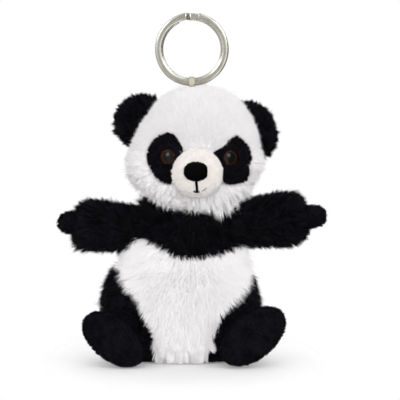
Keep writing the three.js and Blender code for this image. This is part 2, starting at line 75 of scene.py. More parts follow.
def box_mm(node):
    low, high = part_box(node)
    return np.array(low) / MM, np.array(high) / MM


def joint_mm(name):
    joint = next(j for j in frame["joints"] if j["name"] == name)
    return np.array(joint["pos_m"]) / MM


HEAD_SIZE = np.array([27.5, 24.0, 29.7, 19.5])  # CAD head: half width and depth, crown, jaw
HALF_WIDTH, HALF_DEPTH, CROWN, JAW = HEAD_SIZE
FACE_LOW, FACE_HIGH = box_mm("face_panel")
HEAD = np.array([
    (FACE_LOW[0] + FACE_HIGH[0]) / 2,
    FACE_LOW[1] + HALF_DEPTH,
    FACE_HIGH[2] - CROWN,
])
HEAD_SEAM_Y = (FACE_HIGH[1] + box_mm("head_back_panel")[0][1]) / 2
NECK = joint_mm("neck_turn")
RING = joint_mm("ring_swing")


# ---------------------------------------------------------------- node trees

class Tree:
    """Adds and joins the nodes of a material or a world."""

    def __init__(self, owner):
        owner.use_nodes = True
        self.nodes = owner.node_tree.nodes
        self.links = owner.node_tree.links

    def feed(self, node, inputs):
        """Links a node's inputs to sockets, or sets them to values."""
        for socket, value in inputs.items():
            if isinstance(value, bpy.types.NodeSocket):
                self.links.new(value, node.inputs[socket])
            else:
                node.inputs[socket].default_value = value

    def add(self, kind, inputs=None, **settings):
        node = self.nodes.new(f"ShaderNode{kind}")
        for name, value in settings.items():
            setattr(node, name, value)
        self.feed(node, inputs or {})
        return node

    def maths(self, operation, first, second=0.0):
        return self.add("Math", {0: first, 1: second}, operation=operation).outputs[0]

    def vectors(self, operation, inputs):
        return self.add("VectorMath", inputs, operation=operation).outputs

    def mixed(self, share, first, second):
        return self.add("MixShader", {0: share, 1: first, 2: second}).outputs[0]

    def spread(self, value, low, high, full=1.0):
        """A value from 0 to full turned into one from low to high."""
        inputs = {"Value": value, "From Max": full, "To Min": low, "To Max": high}
        return self.add("MapRange", inputs).outputs["Result"]

    def faded(self, value, start, end, strength=1.0):
        """A smooth rise from nothing at a start to a strength at an end."""
        inputs = {"Value": value, "From Min": start, "From Max": end, "To Max": strength}
        return self.add("MapRange", inputs, interpolation_type="SMOOTHSTEP").outputs["Result"]

    def place(self, space="Object"):
        return self.add("TexCoord").outputs[space]

    def noise(self, scale, detail=2.0):
        inputs = {"Vector": self.place(), "Scale": scale, "Detail": detail}
        return self.add("TexNoise", inputs).outputs["Fac"]

    def waves(self, scale, distortion, **settings):
        inputs = {"Vector": self.place(), "Scale": scale, "Distortion": distortion}
        return self.add("TexWave", inputs, **settings).outputs["Fac"]

    def ramp(self, value, *stops):
        """Colour by a value, from stops of a position and a colour."""
        node = self.add("ValToRGB", {"Fac": value})
        elements = node.color_ramp.elements
        for element, (position, colour) in zip(elements[:2], (stops[0], stops[-1])):
            element.position, element.color = position, (*colour, 1.0)
        for position, colour in stops[1:-1]:
            elements.new(position).color = (*colour, 1.0)
        return node.outputs["Color"]

    def dimmed(self, colour, share):
        return self.vectors("SCALE", {0: colour, "Scale": share})[0]

    def relief(self, height, strength, distance):
        inputs = {"Height": height, "Strength": strength, "Distance": distance}
        return self.add("Bump", inputs).outputs["Normal"]


# ---------------------------------------------------------------- camera, light and floor

PICTURE_WIDTH = 160.8  # mm across the picture, at the place looked at
LENS, SENSOR = 250.0, 36.0
CAMERA_ELEVATION = math.radians(2.5)
CAMERA_RANGE = (0.05, 20.0)  # m
LOOK_AT = np.array([6.8, -16.0, 65.6])
LAMPS_LOOK_AT = Vector((0.0, 0.0, 0.06))
SOFTBOXES = [  # name, place and size in metres, watts, colour
    ("left_softbox", (-0.72, -0.82, 0.38), 0.5, 2.9, (1.0, 0.995, 0.985)),
    ("right_softbox", (0.72, -0.82, 0.38), 0.5, 3.2, (1.0, 0.995, 0.98)),
    ("front_softbox", (0.05, -1.2, 0.34), 0.8, 12.1, (1.0, 0.99, 1.0)),
    ("top_softbox", (0.0, 0.72, 0.80), 0.7, 3.2, (0.99, 0.995, 1.0)),
    ("back_softbox", (0.1, 1.3, 0.30), 0.8, 8.0, (1.0, 0.995, 0.99)),
]
WHITE = (1.0, 1.0, 1.0, 1.0)
WORLD_LIGHT = 0.52
ROOM_GLOW = 0.03
ROOM_LIGHTS = [  # way of the reflection, where a light begins and is full, and its strength
    ("Z", 0.4, 0.95, 0.42),  # overhead
    ("Y", 0.45, 1.0, 0.08),  # behind the panda
    ("Y", -0.55, -1.0, 0.34),  # round the camera
    ("X", -0.10, -0.42, 0.40),  # to the left
    ("X", 0.14, 0.27, 0.84),  # a tall strip to the right
    ("X", 0.38, 0.50, -0.72),  # and its far edge
]
WINDOWS = [(-0.62, -0.72, 0.42), (0.62, -0.72, 0.42)]  # ways towards the bright panes
WINDOW_EDGE = (0.965, 0.988)  # cosines where a pane begins and is full
WINDOW_LIGHT = 3.6
FLOOR_RADIUS = 0.6  # m
FLOOR_COLOUR = (0.83, 0.83, 0.83, 1.0)
FLOOR_LIFT = 0.155  # brighter where it is looked at, so that only its shadow shows
FLOOR_OVAL = (3.0, 1.0, 1.0)  # how much sooner it fades to each side
FLOOR_FADE = (0.09, 0.21)  # m, where it begins to fade and is gone


def set_up(thing, place, way):
    """Puts a camera or lamp at a place in metres, looking along a way."""
    thing.location = place
    thing.rotation_mode = "QUATERNION"
    thing.rotation_quaternion = way.to_track_quat("-Z", "Y")
    bpy.context.scene.collection.objects.link(thing)


def make_camera():
    data = bpy.data.cameras.new("camera")
    data.lens, data.sensor_width = LENS, SENSOR
    data.clip_start, data.clip_end = CAMERA_RANGE
    camera = bpy.data.objects.new("camera", data)
    back = Vector((0.0, -math.cos(CAMERA_ELEVATION), math.sin(CAMERA_ELEVATION)))
    distance = PICTURE_WIDTH / SENSOR * LENS
    set_up(camera, Vector(LOOK_AT * MM) + back * distance * MM, -back)
    bpy.context.scene.camera = camera


def make_lamps():
    """Softboxes at the camera and to its left and right, above the panda and behind it."""
    for name, place, size, watts, colour in SOFTBOXES:
        data = bpy.data.lights.new(name, "AREA")
        data.size, data.energy, data.color = size, watts, colour
        lamp = bpy.data.objects.new(name, data)
        lamp.visible_glossy = False
        set_up(lamp, Vector(place), LAMPS_LOOK_AT - Vector(place))


def room_reflection(tree):
    """What shiny things see: a dim room, soft lights, a tall strip and two bright panes."""
    way = tree.place("Generated")
    split = tree.add("SeparateXYZ", {0: way}).outputs
    lights = [tree.faded(split[axis], *rest) for axis, *rest in ROOM_LIGHTS]
    for window in WINDOWS:
        facing = tree.vectors("DOT_PRODUCT", {0: way, 1: Vector(window).normalized()})
        lights.append(tree.faded(facing["Value"], *WINDOW_EDGE, WINDOW_LIGHT))
    total = ROOM_GLOW
    for light in lights:
        total = tree.maths("ADD", total, light)
    return total


def make_world():
    """Even light, a studio room in reflections, and white behind the panda."""
    world = bpy.data.worlds.new("studio")
    tree = Tree(world)
    lighting = tree.nodes["Background"]
    tree.feed(lighting, {"Color": WHITE, "Strength": WORLD_LIGHT})
    room = tree.add("Background", {"Color": room_reflection(tree)})
    white = tree.add("Background", {"Color": WHITE})
    rays = tree.add("LightPath").outputs
    direct = tree.maths("MAXIMUM", rays["Is Camera Ray"], rays["Is Transmission Ray"])
    unseen = tree.mixed(rays["Is Glossy Ray"], lighting.outputs[0], room.outputs[0])
    surface = tree.mixed(direct, unseen, white.outputs[0])
    tree.feed(tree.nodes["World Output"], {"Surface": surface})
    bpy.context.scene.world = world


def make_floor():
    """A pale floor that keeps the shadow and fades into the white behind it."""
    bpy.ops.mesh.primitive_circle_add(vertices=96, radius=FLOOR_RADIUS, fill_type="NGON")
    floor = bpy.context.object
    floor.name = "floor"
    material = bpy.data.materials.new("floor")
    tree = Tree(material)
    tree.nodes.clear()
    rays = tree.add("LightPath").outputs
    seen = tree.maths("MAXIMUM", rays["Is Camera Ray"], rays["Is Glossy Ray"])
    seen = tree.maths("MAXIMUM", seen, rays["Is Transmission Ray"])
    matt = tree.add("BsdfDiffuse", {"Color": FLOOR_COLOUR})
    glow = tree.add("Emission", {"Strength": tree.maths("MULTIPLY", seen, FLOOR_LIFT)})
    both = tree.add("AddShader", {0: matt.outputs[0], 1: glow.outputs[0]})
    oval = tree.vectors("MULTIPLY", {0: tree.place(), 1: FLOOR_OVAL})[0]
    reach = tree.vectors("LENGTH", {0: oval})["Value"]
    clear = tree.add("BsdfTransparent")
    surface = tree.mixed(tree.faded(reach, *FLOOR_FADE), both.outputs[0], clear.outputs[0])
    tree.add("OutputMaterial", {"Surface": surface})
    floor.data.materials.append(material)


# ---------------------------------------------------------------- materials

MATERIALS = {}
STRAND_MAP = "OFBake"
TONES = 40  # that the strands of a pile are shared between
EYE_RADIUS = 4.1


def new_material(name):
    material = bpy.data.materials.new(name)
    MATERIALS[name] = material
    tree = Tree(material)
    return tree, tree.nodes["Principled BSDF"]


def pile_material(name, root, tip, roughness, specular, sheen, sheen_tint, variation):
    """Strand colour runs from root to tip along the map's V. Its U picks a tone for each strand."""
    tree, shader = new_material(name)
    strand_map = tree.add("UVMap", uv_map=STRAND_MAP).outputs["UV"]
    split = tree.add("SeparateXYZ", {0: strand_map}).outputs
    # the darker root colour is painted shade deep in the pile
    colour = tree.ramp(split["Y"], (0.0, root), (0.45, tip), (1.0, tip))
    tone = tree.maths("FLOOR", tree.maths("MULTIPLY", split["X"], TONES))
    share = tree.spread(tone, 1.0 - variation, 1.0, full=TONES - 1)
    tree.feed(shader, {
        "Base Color": tree.dimmed(colour, share),
        "Roughness": roughness,
        "Specular IOR Level": specular,
        "Sheen Weight": sheen,
        "Sheen Roughness": 0.45,
        "Sheen Tint": (*sheen_tint, 1.0),
    })


def cloth_material(name, colour, dark, scale, bump, specular=0.2, sheen=0.2):
    """Knitted or woven backing: rows of small loops with a little unevenness."""
    tree, shader = new_material(name)
    tree.feed(shader, {
        "Base Color": tree.ramp(tree.noise(160.0, 4.0), (0.3, dark), (0.7, colour)),
        "Normal": tree.relief(tree.waves(scale, 1.5), bump, 0.0002),
        "Roughness": 0.85,
        "Specular IOR Level": specular,
        "Sheen Weight": sheen,
    })


def thread_material():
    """Twisted embroidery thread: fine slanting plies and a soft gloss."""
    tree, shader = new_material("thread")
    plies = tree.waves(900.0, 2.0, bands_direction="DIAGONAL")
    dark, black = (0.0007, 0.0007, 0.0007), (0.002, 0.0018, 0.0018)
    tree.feed(shader, {
        "Base Color": tree.ramp(plies, (0.2, dark), (0.8, black)),
        "Normal": tree.relief(plies, 0.4, 0.0001),
        "Roughness": 0.6,
        "Specular IOR Level": 0.02,
    })


def nickel_material():
    """Nickel plate: faint stains and very fine scratches."""
    tree, shader = new_material("nickel_plate")
    stains = tree.noise(220.0, 5.0)
    dull, bright = (0.75, 0.735, 0.64), (0.87, 0.85, 0.755)
    tree.feed(shader, {
        "Base Color": tree.ramp(stains, (0.3, dull), (0.65, bright)),
        "Normal": tree.relief(tree.noise(1400.0, 3.0), 0.015, 0.00005),
        "Roughness": tree.spread(stains, 0.22, 0.29),
        "Metallic": 1.0,
    })


def eye_material():
    """Glossy moulded eye: black pupil, brown iris with fine rays, black rim. Local Z looks out."""
    tree, shader = new_material("eye_plastic")
    flat = tree.vectors("MULTIPLY", {0: tree.place(), 1: (1.0, 1.0, 0.0)})[0]
    radius = tree.vectors("LENGTH", {0: flat})["Value"]
    share = tree.spread(radius, 0.0, 1.0, full=EYE_RADIUS * MM)
    black, brown, amber = (0.0015, 0.0015, 0.0015), (0.010, 0.003, 0.0015), (0.032, 0.008, 0.003)
    rings = tree.ramp(
        share, (0.0, black), (0.5, black), (0.56, brown), (0.68, amber), (0.88, brown), (1.0, black)
    )
    rays = tree.spread(tree.noise(1500.0), 0.6, 1.3)
    tree.feed(shader, {
        "Base Color": tree.dimmed(rings, rays),
        "Roughness": 0.3,
        "Specular IOR Level": 0.05,
        "Coat Weight": 0.55,
        "Coat Roughness": 0.04,
    })


def plastic_material():
    tree, shader = new_material("washer_plastic")
    dull, bright = (0.74, 0.74, 0.71), (0.82, 0.82, 0.79)
    tree.feed(shader, {
        "Base Color": tree.ramp(tree.noise(700.0), (0.3, dull), (0.7, bright)),
        "Roughness": 0.5,
    })


# Roots are darker than tips: painted shade deep in the pile.
PILES = {  # root, tip, roughness, specular level, sheen and its tint, how much strands differ
    "white_pile": ((0.89, 0.875, 0.88), (0.93, 0.92, 0.925), 0.8, 0.1, 0.1, (1, 1, 1), 0.15),
    # the belly's pile is the white pile made brighter: painted light against the shade of the arms
    # and head
    "belly_pile_painted_light": ((0.93, 0.915, 0.925), (0.985, 0.972, 0.98), 0.8, 0.1, 0.1, (1, 1, 1), 0.10),
    "cream_pile": ((0.74, 0.71, 0.67), (0.865, 0.838, 0.81), 0.8, 0.1, 0.1, (1, 1, 1), 0.1),
    "black_pile": (
        (0.001, 0.001, 0.0013), (0.0085, 0.0078, 0.0112), 0.65, 0.08, 0.03, (0.5, 0.48, 0.62), 0.95
    ),
    "velour_pile": (
        (0.002, 0.002, 0.003), (0.0085, 0.0075, 0.011), 0.8, 0.06, 0.05, (0.5, 0.47, 0.6), 0.85
    ),
}
CLOTHS = {  # colour, darker colour, rows a metre, relief, and then specular level and sheen
    "white_cloth": ((0.95, 0.94, 0.945), (0.91, 0.90, 0.905), 900.0, 0.5),
    "black_cloth": ((0.006, 0.006, 0.008), (0.003, 0.003, 0.004), 900.0, 0.5, 0.05, 0.0),
    "cream_cloth": ((0.88, 0.83, 0.75), (0.8, 0.74, 0.66), 900.0, 0.5),
    "fibre": ((0.85, 0.85, 0.85), (0.7, 0.7, 0.7), 300.0, 1.0),
    "ribbon": ((0.55, 0.51, 0.40), (0.42, 0.39, 0.30), 1500.0, 0.6),
}
for name, look in PILES.items():
    pile_material(name, *look)
for name, look in CLOTHS.items():
    cloth_material(name, *look)
thread_material()
nickel_material()
eye_material()
plastic_material()

# the material and the CAD slot of each kind of piece
FIBRE = ("fibre", "fibre_fill")
WHITE_CLOTH, WHITE_PILE = ("white_cloth", "white_plush"), ("white_pile", "white_plush")
# the belly's brighter white pile, painted light against the shade of the arms and head
BELLY_PAINTED_LIGHT_PILE = ("belly_pile_painted_light", "white_plush")
CREAM_CLOTH, CREAM_PILE = ("cream_cloth", "cream_plush"), ("cream_pile", "cream_plush")
BLACK_CLOTH, BLACK_PILE = ("black_cloth", "black_plush"), ("black_pile", "black_plush")
VELOUR_CLOTH, VELOUR_PILE = ("black_cloth", "black_velour"), ("velour_pile", "black_velour")
THREAD = ("thread", "embroidery_thread")
EYE = ("eye_plastic", "eye_plastic")
NICKEL = ("nickel_plate", "nickel_steel")
RIBBON = ("ribbon", "loop_ribbon")


# ---------------------------------------------------------------- forms

class Form:
    """A closed surface in millimetres made of rings of points, capped at both ends."""

    def __init__(self, rings):
        self.rings = np.asarray(rings, float)
        count, around, _ = self.rings.shape
        ends = np.array([self.rings[0].mean(0), self.rings[-1].mean(0)])
        self.points = np.vstack([self.rings.reshape(-1, 3), ends])
        first, last = count * around, count * around + 1
        here = np.arange(around)
        following = (here + 1) % around
        rows = np.arange(count - 1)[:, None] * around
        above = rows + around
        quads = [rows + here, rows + following, above + following, above + here]
        self.quads = np.stack(quads, -1).reshape(-1, 4)
        top = (count - 1) * around
        low_cap = np.stack([following, here, np.full(around, first)], -1)
        high_cap = np.stack([top + here, top + following, np.full(around, last)], -1)
        self.caps = np.vstack([low_cap, high_cap])

    def triangles(self):
        return np.vstack([self.quads[:, [0, 1, 2]], self.quads[:, [0, 2, 3]], self.caps])

    def faces(self):
        return [*self.quads.tolist(), *self.caps.tolist()]

    def solid(self):
        return self.points, self.faces()

    def normals(self):
        """Outward direction at each point, from the faces round it."""
        corners = self.triangles()
        a, b, c = (self.points[corners[:, i]] for i in range(3))
        across = np.cross(b - a, c - a)
        total = np.zeros_like(self.points)
        for i in range(3):
            np.add.at(total, corners[:, i], across)
        return unit(total)

    def grown(self, amount):
        """The same form, larger by an amount, or smaller by a negative one."""
        count = self.rings.shape[0] * self.rings.shape[1]
        moved = self.points + self.normals() * amount
        return Form(moved[:count].reshape(self.rings.shape))

    def area(self, region):
        """Of the triangles whose middles lie in a region."""
        corners = self.triangles()
        a, b, c = (self.points[corners[:, i]] for i in range(3))
        area = np.linalg.norm(np.cross(b - a, c - a), axis=1) / 2
        return area[region((a + b + c) / 3)].sum()


def curve_through(points, count):
    """A smooth Catmull-Rom curve through points."""
    points = np.asarray(points, float)
    padded = np.vstack([2 * points[0] - points[1], points, 2 * points[-1] - points[-2]])
    where = np.linspace(0, len(points) - 1, count)
    index = np.minimum(where.astype(int), len(points) - 2)
    t = (where - index)[:, None]
    a, b, c, d = (padded[index + i] for i in range(4))
    square, cube = 2 * a - 5 * b + 4 * c - d, 3 * b - a - 3 * c + d
    return 0.5 * (2 * b + (c - a) * t + square * t ** 2 + cube * t ** 3)


def lathe(outline, around=72, wide=1.0, high=1.0, roll=0.0):
    """Rings of points round +Z from an outline of (radius, height), made oval and then rolled."""
    angle = np.linspace(0, 2 * math.pi, around, endpoint=False)
    x = np.outer(outline[:, 0], np.cos(angle)) * wide
    y = np.outer(outline[:, 0], np.sin(angle)) * high
    z = np.repeat(outline[:, 1:2], around, axis=1)
    turned_x = x * math.cos(roll) - y * math.sin(roll)
    turned_y = x * math.sin(roll) + y * math.cos(roll)
    return np.stack([turned_x, turned_y, z], -1)


def aimed(points, place, direction):
    """Moves points so that their +Z lies along a direction from a place, with Y kept upwards."""
    across = unit(np.cross(Z, direction))
    up = np.cross(direction, across)
    turn = np.stack([across, up, direction])
    return points @ turn + place


def egg(half_width, half_depth, crown, jaw, centre, rows=64, around=96):
    """A ball with a size of its own across, front to back, upwards and downwards."""
    pole = math.pi / 2 - 0.02  # the last ring stops just short of it
    slope = np.linspace(-pole, pole, rows)
    angle = np.linspace(0, 2 * math.pi, around, endpoint=False)
    height = np.where(np.sin(slope) > 0, crown, jaw) * np.sin(slope)
    x = half_width * np.outer(np.cos(slope), np.cos(angle))
    y = half_depth * np.outer(np.cos(slope), np.sin(angle))
    z = np.repeat(height[:, None], around, axis=1)
    return Form(np.stack([x, y, z], -1) + centre)


def ripple(points, size, seed):
    """Smooth noise from -1 to 1 that changes over about a size, different for each seed."""
    rng = np.random.default_rng(seed)
    total = np.zeros(len(points))
    for _ in range(6):
        way = unit(rng.normal(size=3)) / size * rng.uniform(0.7, 1.6)
        total += np.sin(points @ way * 2 * math.pi + rng.uniform(0, 6.28))
    return total / 3.5


def tube(path, radius, sides=6):
    """A closed round tube along a path."""
    path = np.asarray(path, float)
    along = unit(np.gradient(path, axis=0))
    reference = X if abs(along[0] @ X) < 0.8 else Z
    side = unit(np.cross(along, np.broadcast_to(reference, along.shape)))
    other = np.cross(along, side)
    angle = np.linspace(0, 2 * math.pi, sides, endpoint=False)[None, :, None]
    around = side[:, None] * np.cos(angle) + other[:, None] * np.sin(angle)
    return Form(path[:, None] + radius * around).solid()


def joined(solids):
    """Several (points, faces) as one."""
    points, faces, start = [], [], 0
    for more_points, more_faces in solids:
        points.append(np.asarray(more_points))
        faces.extend([[i + start for i in face] for face in more_faces])
        start += len(more_points)
    return np.vstack(points), faces


# ---------------------------------------------------------------- making pieces

def add_piece(name, mesh, look, body, *stands_for, fill=None, place=None):
    """An object of a mesh in its look, riding on its body, for some of the CAD nodes."""
    material, slot = look
    mesh.materials.append(MATERIALS[material])
    piece = bpy.data.objects.new(name, mesh)
    bpy.context.scene.collection.objects.link(piece)
    if place is not None:
        piece.matrix_world = place
    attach(piece, body)
    if stands_for:
        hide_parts(*stands_for)


def make_piece(name, solid, look, body, *stands_for, **rest):
    points, faces = solid
    mesh = bpy.data.meshes.new(name)
    mesh.from_pydata((np.asarray(points) * MM).tolist(), [], faces)
    mesh.validate()
    mesh.polygons.foreach_set("use_smooth", np.full(len(mesh.polygons), True))
    add_piece(name, mesh, look, body, *stands_for, **rest)


def make_panel(name, form, region, thickness, look, body, stands_for):
    """A closed shell of cloth: the faces of a form whose middles lie in a region."""
    normals = form.normals()
    faces = form.faces()
    middles = np.array([form.points[face].mean(0) for face in faces])
    kept = [face for face, inside in zip(faces, region(middles)) if inside]
    used = sorted({i for face in kept for i in face})
    number = {old: new for new, old in enumerate(used)}
    outer = form.points[used]
    inner = outer - normals[used] * thickness
    front = [[number[i] for i in face] for face in kept]
    behind = [[i + len(used) for i in reversed(face)] for face in front]
    edges = {pair for face in front for pair in zip(face, [*face[1:], face[0]])}
    rim = [
        [b, a, a + len(used), b + len(used)] for a, b in sorted(edges) if (b, a) not in edges
    ]
    solid = np.vstack([outer, inner]), front + behind + rim
    make_piece(name, solid, look, body, stands_for)


# ---------------------------------------------------------------- pile

STRAND_FLATNESS = 0.55  # of a strand's height to its width
STRAND_TIP = 0.55  # of the width just before the point to the width at the root
ROOT_DEPTH = 0.25  # of the roots in the cloth
ROOT_LEAN, LEAN_GAIN = 0.45, 0.75  # share of a strand's lean at its root, and what it gains
GUARD_LENGTH, GUARD_RISE = 1.18, 20  # of the guard hairs, and the degrees they stand up more
LEAN_LIMITS = (5, 84)  # degrees from straight up
CLUMP_BEND = 1.3  # how late along a strand its lock draws it in
BLOCK = 4000  # points compared at a time
TONE_SPREAD = 9


def scatter(form, count, region, rng):
    """Evenly spread random points in a region of a form, and the outward direction at each."""
    corners = form.triangles()
    normals = form.normals()
    a, b, c = (form.points[corners[:, i]] for i in range(3))
    inside = region((a + b + c) / 3)
    touching = np.zeros(len(form.points), bool)
    touching[corners[inside].ravel()] = True
    near = inside | touching[corners].any(1)
    corners, a, b, c = corners[near], a[near], b[near], c[near]
    area = np.linalg.norm(np.cross(b - a, c - a), axis=1) / 2
    edges = np.cumsum(area)
    points, ways = [], []
    found = 0
    while found < count:
        pick = (np.arange(count) + rng.random(count)) / count * edges[-1]
        row = np.minimum(np.searchsorted(edges, pick), len(area) - 1)
        u, v = rng.random((2, count))
        flip = u + v > 1
        u[flip], v[flip] = 1 - u[flip], 1 - v[flip]
        weight = np.stack([1 - u - v, u, v], -1)
        place = np.einsum("nk,nkd->nd", weight, form.points[corners[row]])
        way = np.einsum("nk,nkd->nd", weight, normals[corners[row]])
        keep = region(place)
        points.append(place[keep])
        ways.append(way[keep])
        found += int(keep.sum())
    order = rng.permutation(found)[:count]
    return np.vstack(points)[order], unit(np.vstack(ways)[order])


def nearest(points, centres):
    """The index of the centre nearest to each point."""
    rows = []
    for start in range(0, len(points), BLOCK):
        block = points[start:start + BLOCK]
        distance = (centres ** 2).sum(1)[None] - 2 * block @ centres.T
        rows.append(distance.argmin(1))
    return np.concatenate(rows)


def strand_paths(roots, outward, nap, length, lean, segments):
    """Curved strands that leave their root steeply and bend over towards the nap."""
    tangent = unit(nap - (nap * outward).sum(1, keepdims=True) * outward)
    path = [roots]
    for step in range(segments):
        share = (step + 0.5) / segments
        angle = (lean * (ROOT_LEAN + LEAN_GAIN * share))[:, None]
        way = np.cos(angle) * outward + np.sin(angle) * tangent
        path.append(path[-1] + way * (length / segments)[:, None])
    return np.stack(path, 1)


def strand_mesh(paths, outward, width, rng):
    """Points, faces and map of closed strands: flat-bottomed, ridged on top, ending in a point."""
    count, steps, _ = paths.shape
    rings = steps - 1
    along = unit(np.gradient(paths, axis=1))
    top = unit(outward + rng.normal(scale=0.25, size=(count, 3)))[:, None]
    side = unit(np.cross(along, top))
    other = np.cross(side, along) * STRAND_FLATNESS
    taper = np.linspace(1.0, STRAND_TIP, rings)[None, :] * np.ones((count, 1))
    radius = taper * (width * rng.uniform(0.8, 1.15, count) / 2)[:, None]
    corner = (np.arange(3) * 2 * math.pi / 3 + math.pi / 2)[None, None, :, None]
    across = side[:, :rings, None] * np.cos(corner) + other[:, :rings, None] * np.sin(corner)
    ring = paths[:, :rings, None] + radius[..., None, None] * across
    points = np.concatenate([ring.reshape(count, rings * 3, 3), paths[:, -1:]], 1)
    faces, flat = [[0, 2, 1]], [[(0.0, 0.0), (0.7, 0.0), (0.35, 0.02)]]
    for row in range(rings - 1):
        low, high = row / rings, (row + 1) / rings
        for i in range(3):
            j = (i + 1) % 3
            faces.append([row * 3 + i, row * 3 + j, row * 3 + 3 + j, row * 3 + 3 + i])
            flat.append([(i / 3, low), ((i + 1) / 3, low), ((i + 1) / 3, high), (i / 3, high)])
    last = (rings - 1) * 3
    low = last / 3 / rings
    for i in range(3):
        faces.append([last + i, last + (i + 1) % 3, rings * 3])
        flat.append([(i / 3, low), ((i + 1) / 3, low), ((i + 0.5) / 3, 1.0)])
    return points, faces, flat


def pile_mesh(name, paths, outward, width, tone, rng):
    """One mesh of all strands, each with its tone in the map."""
    points, faces, flat = strand_mesh(paths, outward, width, rng)
    count, each, _ = points.shape
    sizes = np.array([len(face) for face in faces])
    template = np.concatenate(faces)
    loops = (template[None] + np.arange(count)[:, None] * each).ravel()
    starts = np.concatenate([[0], np.cumsum(np.tile(sizes, count))[:-1]])
    mesh = bpy.data.meshes.new(name)
    mesh.vertices.add(count * each)
    mesh.vertices.foreach_set("co", (points.reshape(-1) * MM).astype(np.float32))
    mesh.loops.add(len(loops))
    mesh.loops.foreach_set("vertex_index", loops.astype(np.int32))
    mesh.polygons.add(len(faces) * count)
    mesh.polygons.foreach_set("loop_start", starts.astype(np.int32))
    mesh.polygons.foreach_set("use_smooth", np.full(len(faces) * count, False))
    uv = np.array([corner for face in flat for corner in face])
    tone = TONES / 2 + tone + rng.normal(scale=TONE_SPREAD, size=count)
    cell = np.clip(np.round(tone), 0, TONES - 1) / TONES
    placed = np.empty((count, len(uv), 2))
    placed[..., 0] = cell[:, None] + 0.002 + uv[None, :, 0] * 0.021  # inside the tone's cell
    placed[..., 1] = 0.01 + uv[None, :, 1] * 0.98
    layer = mesh.uv_layers.new(name=STRAND_MAP)
    layer.data.foreach_set("uv", placed.ravel().astype(np.float32))
    mesh.update(calc_edges=True)
    return mesh


def values_at(points, rule):
    """A value for each point, from a function of place, a direction or a number."""
    if callable(rule):
        return rule(points)
    return np.repeat(np.asarray(rule, float)[None], len(points), axis=0)


def make_pile(name, form, region, count, length, nap, look, body, *, seed, streak, lean=58.0,
              width=0.3, segments=2, clump=0.35, clump_size=1.8, sway=0.3, stray=0.1, guard=0.12,
              floor=None, trim=1.0, ragged=0.06, patches=(6.0, 9.0), shade=0.0):
    """Grows a piece of pile on a region of a form.

    length, nap, clump and shade may be functions of place. The strands of a lock are drawn
    together by clump. ragged and streak are how much the locks differ in length and tone, and
    patches are the size and strength of larger lighter places. shade makes all of it lighter or
    darker. A share of the strands, the guard hairs, are longer and stand up more.
    """
    rng = np.random.default_rng(seed)
    roots, outward = scatter(form, count, region, rng)
    centres = max(int(form.area(region) / clump_size ** 2), 1)
    group = nearest(roots, roots[:centres])
    way = values_at(roots, nap)
    way = way + sway * np.stack([ripple(roots, 9.0, seed * 10 + i) for i in range(3)], -1)
    way = way + rng.normal(scale=stray, size=(centres, 3))[group]
    way = way + rng.normal(scale=stray, size=way.shape)
    lock = rng.uniform(1 - ragged, 1 + ragged, centres)[group]
    tone = rng.normal(scale=streak, size=centres)[group]
    reach = values_at(roots, length) * trim * lock * rng.uniform(0.78, 1.08, count)
    angle = lean + 4 * ripple(roots, 6.0, seed + 77) + rng.normal(scale=2.5, size=centres)[group]
    standing = rng.random(count) < guard
    reach = np.where(standing, reach * GUARD_LENGTH, reach)
    angle = np.where(standing, angle - GUARD_RISE, angle)
    angle = np.radians(np.clip(angle + rng.normal(scale=5, size=count), *LEAN_LIMITS))
    paths = strand_paths(roots - outward * ROOT_DEPTH, outward, way, reach, angle, segments)
    along = (np.arange(segments + 1) / segments) ** CLUMP_BEND
    pull = values_at(roots, clump)[:, None] * along[None]
    paths = paths + pull[..., None] * (paths[:centres][group] - paths)
    if floor is not None:
        paths[..., 2] = np.maximum(paths[..., 2], floor + rng.uniform(0, 0.5, count)[:, None])
    patch_size, patch_strength = patches
    tone = tone + values_at(roots, shade) + ripple(roots, patch_size, 5) * patch_strength
    mesh = pile_mesh(name, paths, outward, width, tone, rng)
    add_piece(name, mesh, look, body)


# ---------------------------------------------------------------- head

SKIN_SIZE = (25.7, 22.0, 30.5, 17.2)  # half width and depth, crown, jaw
SKIN_SHIFT = np.array([0.05, 0.0, 0.0])
JOWL_LEFT, JOWL_RIGHT = 0.0045, 0.0115  # narrowing of the lower face
CHIN_RISE = 1.6  # of the chin at its left
CROWN_LEAN = 0.095  # of the fur to the right of the middle, by height
LEFT_LEAN, LEFT_FALL = 0.11, 0.24  # of the crown at its left, inwards and then out again
HEAD_CLOTH = 0.7
BEARD_TIP = 13.6
EYES = {"left": (-10.8, 3.2), "right": (14.0, 2.8)}
EYE_DOME, EYE_SHAFT, EYE_SUNK = 2.5, 1.25, 1.6
PATCH_SHIFT = 0.4  # of the patches towards the nose
PATCH_INSET = 0.9  # of a patch's surface from the CAD face
PATCH_THICKNESS = 1.6
PATCHES = {
    "left": [
        (-0.2, 9.0), (2.0, 8.2), (3.8, 5.6), (5.3, 2.5), (4.0, -1.0), (2.9, -4.1), (1.4, -7.3),
        (0.6, -10.0), (-3.9, -8.6), (-5.8, -6.0), (-7.3, -2.8), (-7.9, -0.9), (-7.6, 2.4),
        (-6.1, 5.6), (-4.0, 7.3),
    ],
    "right": [
        (2.3, 8.5), (5.1, 6.0), (7.0, 3.7), (8.1, -0.1), (7.3, -3.4), (7.2, -6.6), (5.4, -9.3),
        (-0.4, -9.8), (-2.4, -8.6), (-2.4, -5.6), (-3.3, -3.0), (-4.8, -0.5), (-6.3, 1.6),
        (-3.9, 3.4), (-1.0, 5.5),
    ],
}
MUZZLE_LOW, MUZZLE_HIGH = box_mm("muzzle_cover")
MUZZLE = np.array([
    (MUZZLE_LOW[0] + MUZZLE_HIGH[0]) / 2,
    MUZZLE_HIGH[1],
    (MUZZLE_LOW[2] + MUZZLE_HIGH[2]) / 2 + 0.2,
])
MUZZLE_HALF = np.array([10.1, 10.5, 9.7])


